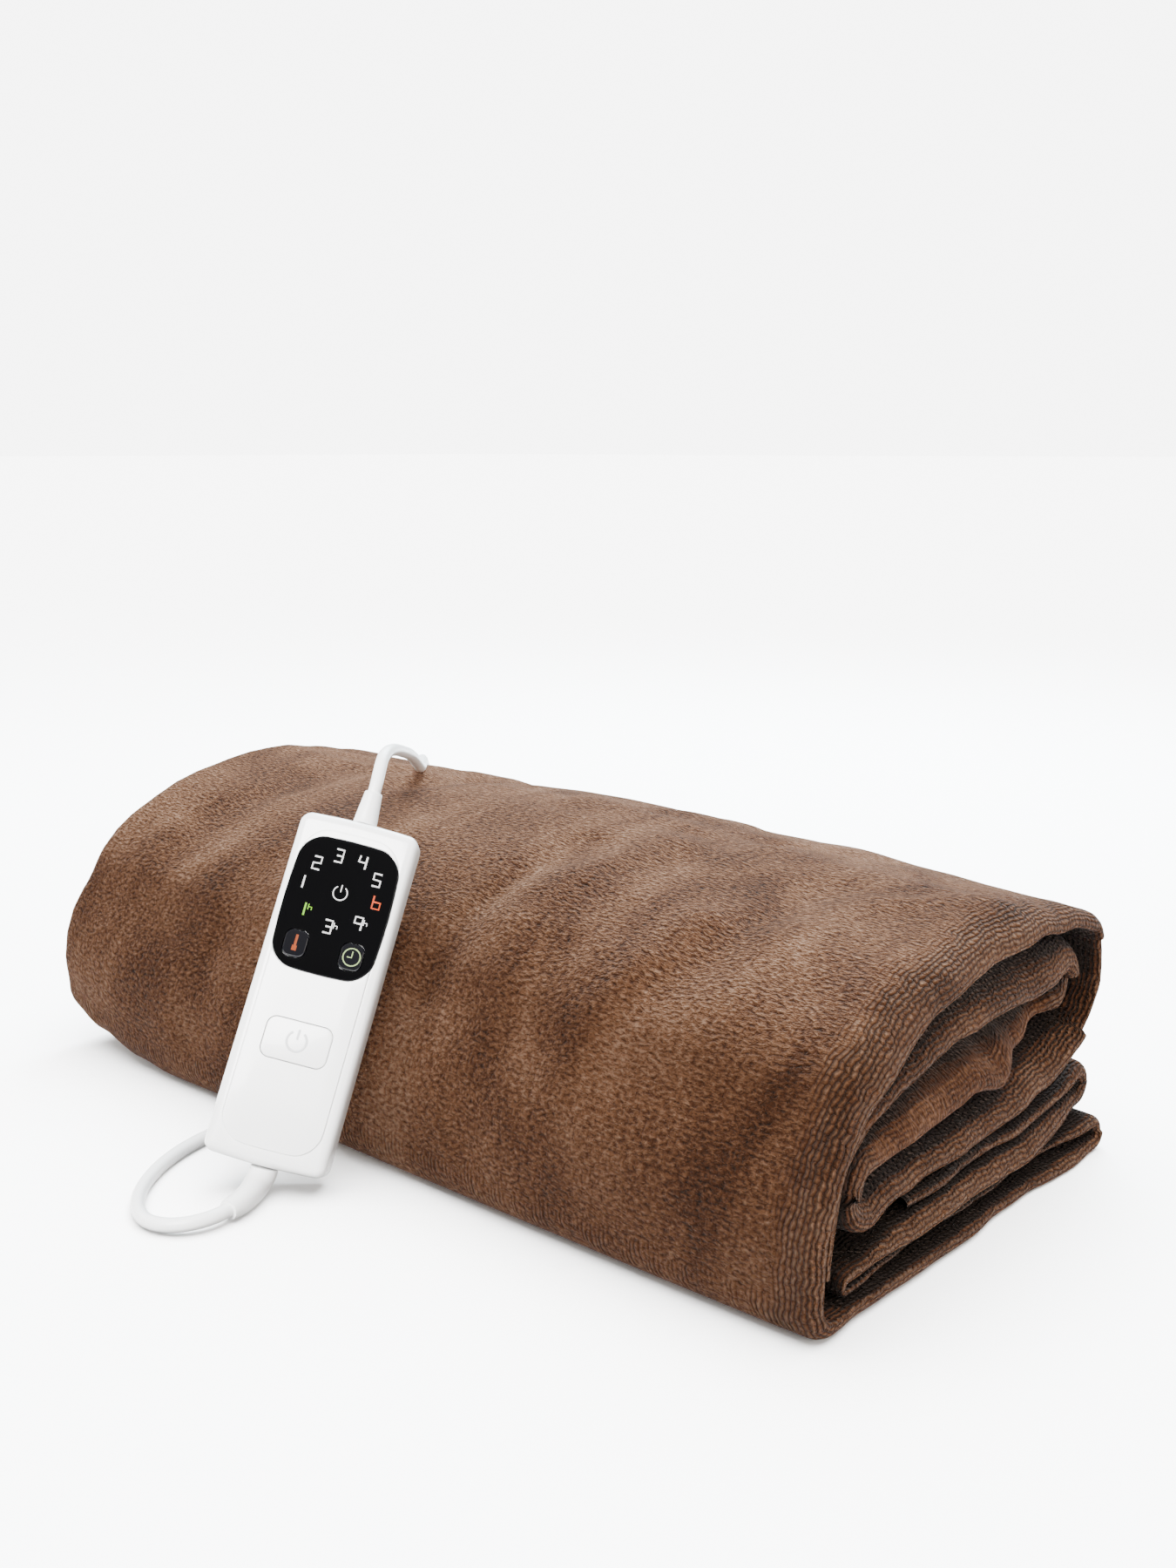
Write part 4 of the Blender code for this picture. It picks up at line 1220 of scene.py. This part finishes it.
class HEATEDTHROW_OT_reliefs(bpy.types.Operator):
    """The tapered strain reliefs at both ends of the handset"""

    bl_idname = "heatedthrow.reliefs"
    bl_label = "Strain reliefs"

    def execute(self, context):
        base, above = relief_line(1)
        up = (above - base).normalized()
        points = [base + up * step for step, _ in TOP_RELIEF]
        self.relief("throw_lead", points, [radius for _, radius in TOP_RELIEF])

        line = bottom_relief(0.0016)
        thick, thin = BOTTOM_RELIEF_RADII
        radii = [thick + (thin - thick) * k / (len(line) - 1) for k in range(len(line))]
        radii[0] -= GAP
        radii[-1] -= GAP
        self.relief("mains_lead", line, radii)
        return {"FINISHED"}

    def relief(self, lead, points, radii):
        piece = smooth(to_mesh(round_curve(lead + "_boot", points, radii, 8)), 40)
        done(piece, SOFT_WHITE, BUNDLE, "flex", lead + "_relief")


class HEATEDTHROW_OT_connector(bpy.types.Operator):
    """The connector behind the bundle, where the throw's lead goes in"""

    bl_idname = "heatedthrow.connector"
    bl_label = "Connector"

    def execute(self, context):
        long, wide, high = CONNECTOR_SIZE
        middle = (CONNECTOR_LEFT + long / 2, CONNECTOR_FRONT + wide / 2, high / 2 + GAP)
        body = add_cube("throw_connector_shell", CONNECTOR_SIZE, middle)
        bevel(body, running(0), 0.0032, 6)
        bevel(body, rim_at(0, CONNECTOR_LEFT, CONNECTOR_LEFT + long), 0.0014, 4)
        # the seam between its two halves, and three grooves to grip it by
        for step, width in CONNECTOR_GROOVES:
            at = (CONNECTOR_LEFT + step, *middle[1:])
            ring = add_cube("groove", (width, wide * 2, high * 2), at)
            core = add_cube("core", (width * 3, wide - 0.0012, high - 0.0012), at)
            bevel(core, running(0), 0.0028, 6)
            carve(ring, core)
            carve(body, ring)
        done(smooth(body), PLUG_WHITE, BUNDLE, "shell", "throw_connector")
        return {"FINISHED"}


class HEATEDTHROW_OT_plug(bpy.types.Operator):
    """The plug on its back, with its three pins up"""

    bl_idname = "heatedthrow.plug"
    bl_label = "Plug"

    def execute(self, context):
        x0, y0 = PLUG_AT
        face = GAP + PLUG_THICKNESS
        middle = (x0 + PLUG_LENGTH / 2, y0, GAP + PLUG_THICKNESS / 2)
        body = add_cube("plug_shell", (PLUG_LENGTH, PLUG_WIDTH, PLUG_THICKNESS), middle)
        slice_at(body, 0, [x0 + step for step in PLUG_CUTS])
        for vertex in body.data.vertices:  # the sides draw in to a neck where the lead enters
            step = vertex.co.x - x0
            wide = PLUG_NECK + (PLUG_WIDTH - PLUG_NECK) * ease((step - 0.004) / 0.022)
            wide -= 0.010 * ease((step - 0.038) / 0.008)
            vertex.co.y = y0 + (vertex.co.y - y0) * wide / PLUG_WIDTH
        ends = (x0, x0 + PLUG_LENGTH)
        at_end = running(2, lambda place: min(abs(place.x - end) for end in ends) < 1e-5)
        bevel(body, at_end, 0.0040, 5)
        for level in (GAP, face):
            bevel(body, rim_at(2, level), 0.0018, 4)
        for pin in PINS:
            size = (pin.wide + 2 * GAP, pin.deep + 2 * GAP, 0.008)
            carve(body, add_cube("hole", size, (x0 + pin.x, y0 + pin.y, face)))
        # the cover of the fuse between the pins
        at = (x0 + FUSE_COVER_X, y0, face)
        cover = add_cube("cover", FUSE_COVER_SIZE, at)
        carve(cover, add_cube("core", (0.0064, 0.0224, 0.003), at))
        carve(body, cover)
        done(smooth(body), PLUG_WHITE, BUNDLE, "shell", "plug_body")
        for pin in PINS:
            blade = self.post(pin, "_blade", 0.0, face - 0.003, face + pin.length, 0.0006, 3)
            done(blade, BRASS, BUNDLE, "pin", pin.name)
            if pin.name != "pin_earth":
                top = face + SLEEVE_LENGTH
                sleeve = self.post(pin, "_sleeve", 0.0002, face, top, 0.0001, 2)
                done(sleeve, SLEEVE, BUNDLE)
        return {"FINISHED"}

    def post(self, pin, kind, wider, bottom, top, rim, segments):
        """A pin's blade or its sleeve, standing from bottom to top."""
        size = (pin.wide + wider, pin.deep + wider, top - bottom)
        at = (PLUG_AT[0] + pin.x, PLUG_AT[1] + pin.y, (bottom + top) / 2)
        piece = add_cube(pin.name + kind, size, at)
        bevel(piece, running(2), 0.0005, 3)
        bevel(piece, rim_at(2, top), rim, segments)
        return smooth(piece, 40)


class HEATEDTHROW_OT_tie(bpy.types.Operator):
    """The strap that holds the wound lead together"""

    bl_idname = "heatedthrow.tie"
    bl_label = "Tie"

    def execute(self, context):
        wide = 2 * (1.5 * COIL_PITCH + 0.0006)
        low, high = 0.0003, COIL_HEIGHTS[1] + MAINS_DIAMETER / 2 + 0.0005
        middle = (COIL_AT[0] + COIL_RADIUS, COIL_AT[1], (low + high) / 2)
        strap = add_cube("coil_tie", (wide, 0.0100, high - low), middle)
        bevel(strap, running(1), 0.0024, 6)
        core = add_cube("core", (wide - 0.0012, 0.03, high - low - 0.0012), middle)
        bevel(core, running(1), 0.0019, 6)
        carve(strap, core)
        tab_at = (middle[0] + 0.002, middle[1], high + 0.0003)
        tab = add_cube("tab", (0.0090, 0.0094, 0.0007), tab_at)
        bevel(tab, running(2), 0.0020, 5)
        done(smooth(join("coil_tie", [strap, tab])), STRAP, BUNDLE)
        return {"FINISHED"}


class HEATEDTHROW_OT_throw(bpy.types.Operator):
    """The plush throw, one sheet of cloth folded into the bundle"""

    bl_idname = "heatedthrow.throw"
    bl_label = "Throw"

    def execute(self, context):
        piece = done(make_cloth(), PLUSH, BUNDLE, "plush", "throw")
        return {"FINISHED"}


class HEATEDTHROW_OT_handset(bpy.types.Operator):
    """The handset's housing: two white mouldings with the seam between them"""

    bl_idname = "heatedthrow.handset"
    bl_label = "Handset housing"

    def execute(self, context):
        width, length, bows = HANDSET_WIDTH, HANDSET_LENGTH, (0.0, END_BOW)
        front = rounded_block(
            "handset_face_moulding", (width, PARTING_Y - GAP - FACE_Y, length), FACE_Y, (0, 0),
            0.0044, rim=0.0036, bows=bows, low_corner=0.0038,
        )
        # the face's middle is raised, with a fine line round it
        panel = rounded_block(
            "raised_middle", PANEL_SIZE, FACE_Y - RAISED, (0, 0), 0.0100, rim=0.0003, bows=bows
        )
        line = (PANEL_SIZE[0] + 0.0007, 0.004, PANEL_SIZE[2] + 0.0007)
        carve(front, rounded_block("line", line, FACE_Y - 0.0037, (0, 0), 0.0103, bows=bows))
        carve(front, panel, "UNION")
        seat = widened(LENS_SIZE, LENS_SIZE[1] + GAP + 0.003)
        at, corner = (0, LENS_Z), LENS_CORNER + GAP
        carve(front, rounded_block("seat", seat, LENS_FRONT - 0.003, at, corner, bows=LENS_BOWS))
        seat = widened(POWER_KEY_SIZE, 0.0080)
        carve(front, rounded_block("seat", seat, FACE_Y - 0.004, (0, POWER_KEY_Z), 0.0041))
        carve_small_seats(front, FACE_Y - 0.004)
        done(on_handset(front), HOUSING, BUNDLE, "shell", "handset_front")

        back = rounded_block(
            "handset_back_moulding", (width - 0.0004, BACK_Y - PARTING_Y, length - 0.0004),
            PARTING_Y, (0, 0), 0.0044, back_rim=0.0070, bows=bows, low_corner=0.0038,
        )
        for row in range(VENTS):
            at = (0, BACK_Y, HIGHEST_VENT - row * VENT_STEP)
            carve(back, add_cube("vent", VENT_SIZE, at))
        done(on_handset(back), HOUSING, BUNDLE, "shell", "handset_back")
        return {"FINISHED"}


# Figures as strokes through the corners of a cell: (across, up), each from 0 to 1.
FIGURES = {
    "1": (((0.5, 1), (0.5, 0)),),
    "2": (((0, 1), (1, 1), (1, 0.52), (0, 0.48), (0, 0), (1, 0)),),
    "3": (((0, 1), (1, 1), (1, 0.5), (0.2, 0.5)), ((1, 0.5), (1, 0), (0, 0))),
    "4": (((0.1, 1), (0, 0.5), (1, 0.5)), ((1, 1), (1, 0))),
    "5": (((1, 1), (0, 1), (0, 0.52), (1, 0.48), (1, 0), (0, 0)),),
    "6": (((0, 1), (0, 0), (1, 0), (1, 0.52), (0, 0.52)),),
    "9": (((1, 0), (1, 1), (0, 1), (0, 0.5), (1, 0.5)),),
    "h": (((0, 1), (0, 0)), ((0, 0.5), (1, 0.5), (1, 0))),
}
WINDOW_FIGURES = {  # each figure and its place on the window; an h is small
    "white": (
        ("1", -0.0152, 0.0398), ("2", -0.0121, 0.0482), ("3", -0.0044, 0.0530),
        ("4", 0.0052, 0.0527), ("5", 0.0127, 0.0472), ("3", -0.0009, 0.0250),
        ("h", 0.0020, 0.0259), ("9", 0.0102, 0.0290), ("h", 0.0130, 0.0298),
    ),
    "orange": (("6", 0.0150, 0.0386),),
    "green": (("1", -0.0117, 0.0295), ("h", -0.0098, 0.0307)),
}


def figure_strokes(text, x, z, height):
    """The strokes of one figure on the window."""
    tall, width = (height * 0.46, 0.00040) if text == "h" else (height, 0.00072)
    strokes = []
    for line in FIGURES[text]:
        points = [(x + (right - 0.5) * tall * 0.60, z + (up - 0.5) * tall) for right, up in line]
        strokes.append(stroke(points, LENS_FRONT, width))
    return strokes


def power_sign(middle, radius, width, level):
    """The generic power sign: a ring open at the top with a bar in the opening."""
    bar = [(middle[0], middle[1] + radius * share) for share in (0.15, 1.18)]
    return [stroke(arc(middle, radius, 34, 326), level, width), stroke(bar, level, width)]


class HEATEDTHROW_OT_display(bpy.types.Operator):
    """The display window and the figures on it"""

    bl_idname = "heatedthrow.display"
    bl_label = "Display"

    def execute(self, context):
        lens = rounded_block(
            "display_window", LENS_SIZE, LENS_FRONT, (0, LENS_Z), LENS_CORNER, rim=0.0004,
            bows=LENS_BOWS,
        )
        carve_small_seats(lens, LENS_FRONT - 0.004)
        done(on_handset(lens), WINDOW, BUNDLE, "lens", "display_lens")
        height = context.scene.handset_settings.digit_height
        for tint, figures in WINDOW_FIGURES.items():
            strokes = [line for figure in figures for line in figure_strokes(*figure, height)]
            if tint == "white":
                strokes += power_sign((0.0001, 0.0388), 0.0028, 0.00046, LENS_FRONT)
            piece = on_handset(join("window_figures_" + tint, strokes))
            done(piece, tint + " backlit print", BUNDLE)
        return {"FINISHED"}


class HEATEDTHROW_OT_keys(bpy.types.Operator):
    """The wide power key and the two small keys in the window, with their signs"""

    bl_idname = "heatedthrow.keys"
    bl_label = "Keys"

    def execute(self, context):
        at = (0, POWER_KEY_Z)
        cap = rounded_block("power_key_cap", POWER_KEY_SIZE, POWER_FRONT, at, 0.0038, rim=0.0005)
        done(on_handset(cap, 30), HOUSING, "power_button", "shell", "power_key")
        # the sign stands raised on the key, and its grey is painted shade
        sign = power_sign((0, POWER_KEY_Z + 0.0003), 0.0039, 0.0010, POWER_FRONT)
        done(on_handset(join("power_key_sign", sign)), EMBOSS_SHADE, "power_button")

        stem, bulb = ((0, -0.0010), (0, 0.0034)), ((0, -0.0029), (0, -0.0009))
        thermometer = ((stem, 0.0010), (bulb, 0.0019))
        self.small_key("heat", -1, thermometer, "dim amber backlit print")
        hands = ((0.0002, 0.0023), (0.0002, -0.0002), (-0.0016, -0.0002))
        clock = ((arc((0.0002, 0), 0.0034, 0, 358, 40), 0.00045), (hands, 0.00045))
        self.small_key("timer", 1, clock, "pale green backlit print")
        return {"FINISHED"}

    def small_key(self, name, side, sign, ink):
        """A small key and its sign, lines of (points from the key's middle, width)."""
        x, z = side * SMALL_KEY_AT[0], SMALL_KEY_AT[1]
        cap = rounded_block(
            name + "_key_cap", SMALL_KEY_SIZE, SMALL_FRONT, (x, z), 0.0030, rim=0.0006
        )
        done(on_handset(cap), SMALL_KEYS, name + "_button", "lens", name + "_key")
        strokes = [
            stroke([(x + right, z + up) for right, up in points], SMALL_FRONT, width)
            for points, width in sign
        ]
        done(on_handset(join(name + "_key_sign", strokes)), ink, name + "_button")


class HEATEDTHROW_OT_declare(bpy.types.Operator):
    """Lists the pieces that are on the mains lead, and does nothing more with the list"""

    bl_idname = "heatedthrow.declare"
    bl_label = "Declare the leads"

    def execute(self, context):
        on_mains = ["mains_lead_boot", "plug_shell", "coil_tie", "pin_line_sleeve"]
        on_mains += ["pin_neutral_sleeve", *(pin.name + "_blade" for pin in PINS)]
        return {"FINISHED"}


class HEATEDTHROW_OT_stage(bpy.types.Operator):
    """A plain pale floor and soft studio light"""

    bl_idname = "heatedthrow.stage"
    bl_label = "Stage"

    def execute(self, context):
        settings = context.scene.stage_settings
        select()
        bpy.ops.mesh.primitive_plane_add(size=80.0, location=(0, 0, 0))
        floor = context.object
        floor.name = "floor"
        floor.data.materials.append(finish_named(PAPER))
        # The floor doesn't throw its own light back on the object, as on a lit white table.
        floor.visible_diffuse = False

        world = bpy.data.worlds.new("studio")
        context.scene.world = world
        world.use_nodes = True
        world.node_tree.nodes.clear()
        add = partial(add_node, world.node_tree)
        up = add("SeparateXYZ", add("TexCoord", out="Generated"), out=2)
        high = add("Math MULTIPLY_ADD", up, settings.sky * 0.9, settings.sky)
        around = add("Math MAXIMUM", high, settings.sky * 0.55)
        seen = add("LightPath", out="Is Camera Ray")
        strength = add("Mix", seen, _2=around, _3=settings.backdrop)
        add("OutputWorld", add("Background", Color=(1.0, 1.0, 1.0), Strength=strength))

        self.lamp("top_light", (-0.35, 0.80, 1.05), 1.0, settings.key_power, (0.74, 0.90, 1.0))
        self.lamp("side_light", (1.20, -0.12, 0.45), 0.6, settings.side_power, (1.0, 0.92, 0.84))
        self.lamp("left_light", (-1.10, -0.60, 0.55), 0.8, settings.left_power, (1.0, 0.96, 0.90))
        # Two lights that reach only the floor and only the white plastic, so that both come
        # out white while the dark cloth keeps its colour.
        sun = bpy.data.lights.new("floor_light", "SUN")
        sun.energy = settings.floor_light
        sun.angle = radians(75)
        sun = bpy.data.objects.new("floor_light", sun)
        context.scene.collection.objects.link(sun)
        self.only(sun, [floor])
        white = [
            piece
            for piece in context.scene.objects
            if any(slot.name in WHITE_PLASTICS for slot in piece.material_slots)
        ]
        lamp = self.lamp("plastic_light", (0.25, -1.05, 0.95), 0.8, settings.plastic_light)
        self.only(lamp, white)
        return {"FINISHED"}

    def lamp(self, name, at, size, power, colour=(1.0, 1.0, 1.0)):
        """A round soft light at this place, turned to the object."""
        lamp = bpy.data.lights.new(name, "AREA")
        lamp.shape = "DISK"
        lamp.size = size
        lamp.energy = power
        lamp.color = colour
        light = bpy.data.objects.new(name, lamp)
        bpy.context.scene.collection.objects.link(light)
        light.location = at
        toward = Vector((0, 0, 0.05)) - Vector(at)
        light.rotation_euler = toward.to_track_quat("-Z", "Y").to_euler()
        return light

    def only(self, light, pieces):
        """Lets a light reach only these pieces."""
        reached = bpy.data.collections.new(light.name + "_pieces")
        for piece in pieces:
            reached.objects.link(piece)
        light.light_linking.receiver_collection = reached


STEPS = (
    HEATEDTHROW_OT_camera,
    HEATEDTHROW_OT_leads,
    HEATEDTHROW_OT_reliefs,
    HEATEDTHROW_OT_connector,
    HEATEDTHROW_OT_plug,
    HEATEDTHROW_OT_tie,
    HEATEDTHROW_OT_declare,
    HEATEDTHROW_OT_throw,
    HEATEDTHROW_OT_handset,
    HEATEDTHROW_OT_display,
    HEATEDTHROW_OT_keys,
    HEATEDTHROW_OT_stage,
)


class HEATEDTHROW_PT_panel(bpy.types.Panel):
    """Lists the pieces of the heated throw"""

    bl_idname = "HEATEDTHROW_PT_panel"
    bl_label = "Heated throw"
    bl_space_type = "VIEW_3D"
    bl_region_type = "UI"
    bl_category = "Heated throw"

    def draw(self, context):
        for step in STEPS:
            self.layout.operator(step.bl_idname)


GROUPS = {
    "throw_settings": ThrowSettings,
    "handset_settings": HandsetSettings,
    "lead_settings": LeadSettings,
    "stage_settings": StageSettings,
}
CLASSES = (*GROUPS.values(), *STEPS, HEATEDTHROW_PT_panel)


def register():
    for each in CLASSES:
        bpy.utils.register_class(each)
    for name, group in GROUPS.items():
        setattr(bpy.types.Scene, name, bpy.props.PointerProperty(type=group))


def unregister():
    for name in GROUPS:
        delattr(bpy.types.Scene, name)
    for each in reversed(CLASSES):
        bpy.utils.unregister_class(each)


def main():
    register()
    for step in STEPS:
        group, name = step.bl_idname.split(".")
        getattr(getattr(bpy.ops, group), name)()


if __name__ == "__main__":
    main()
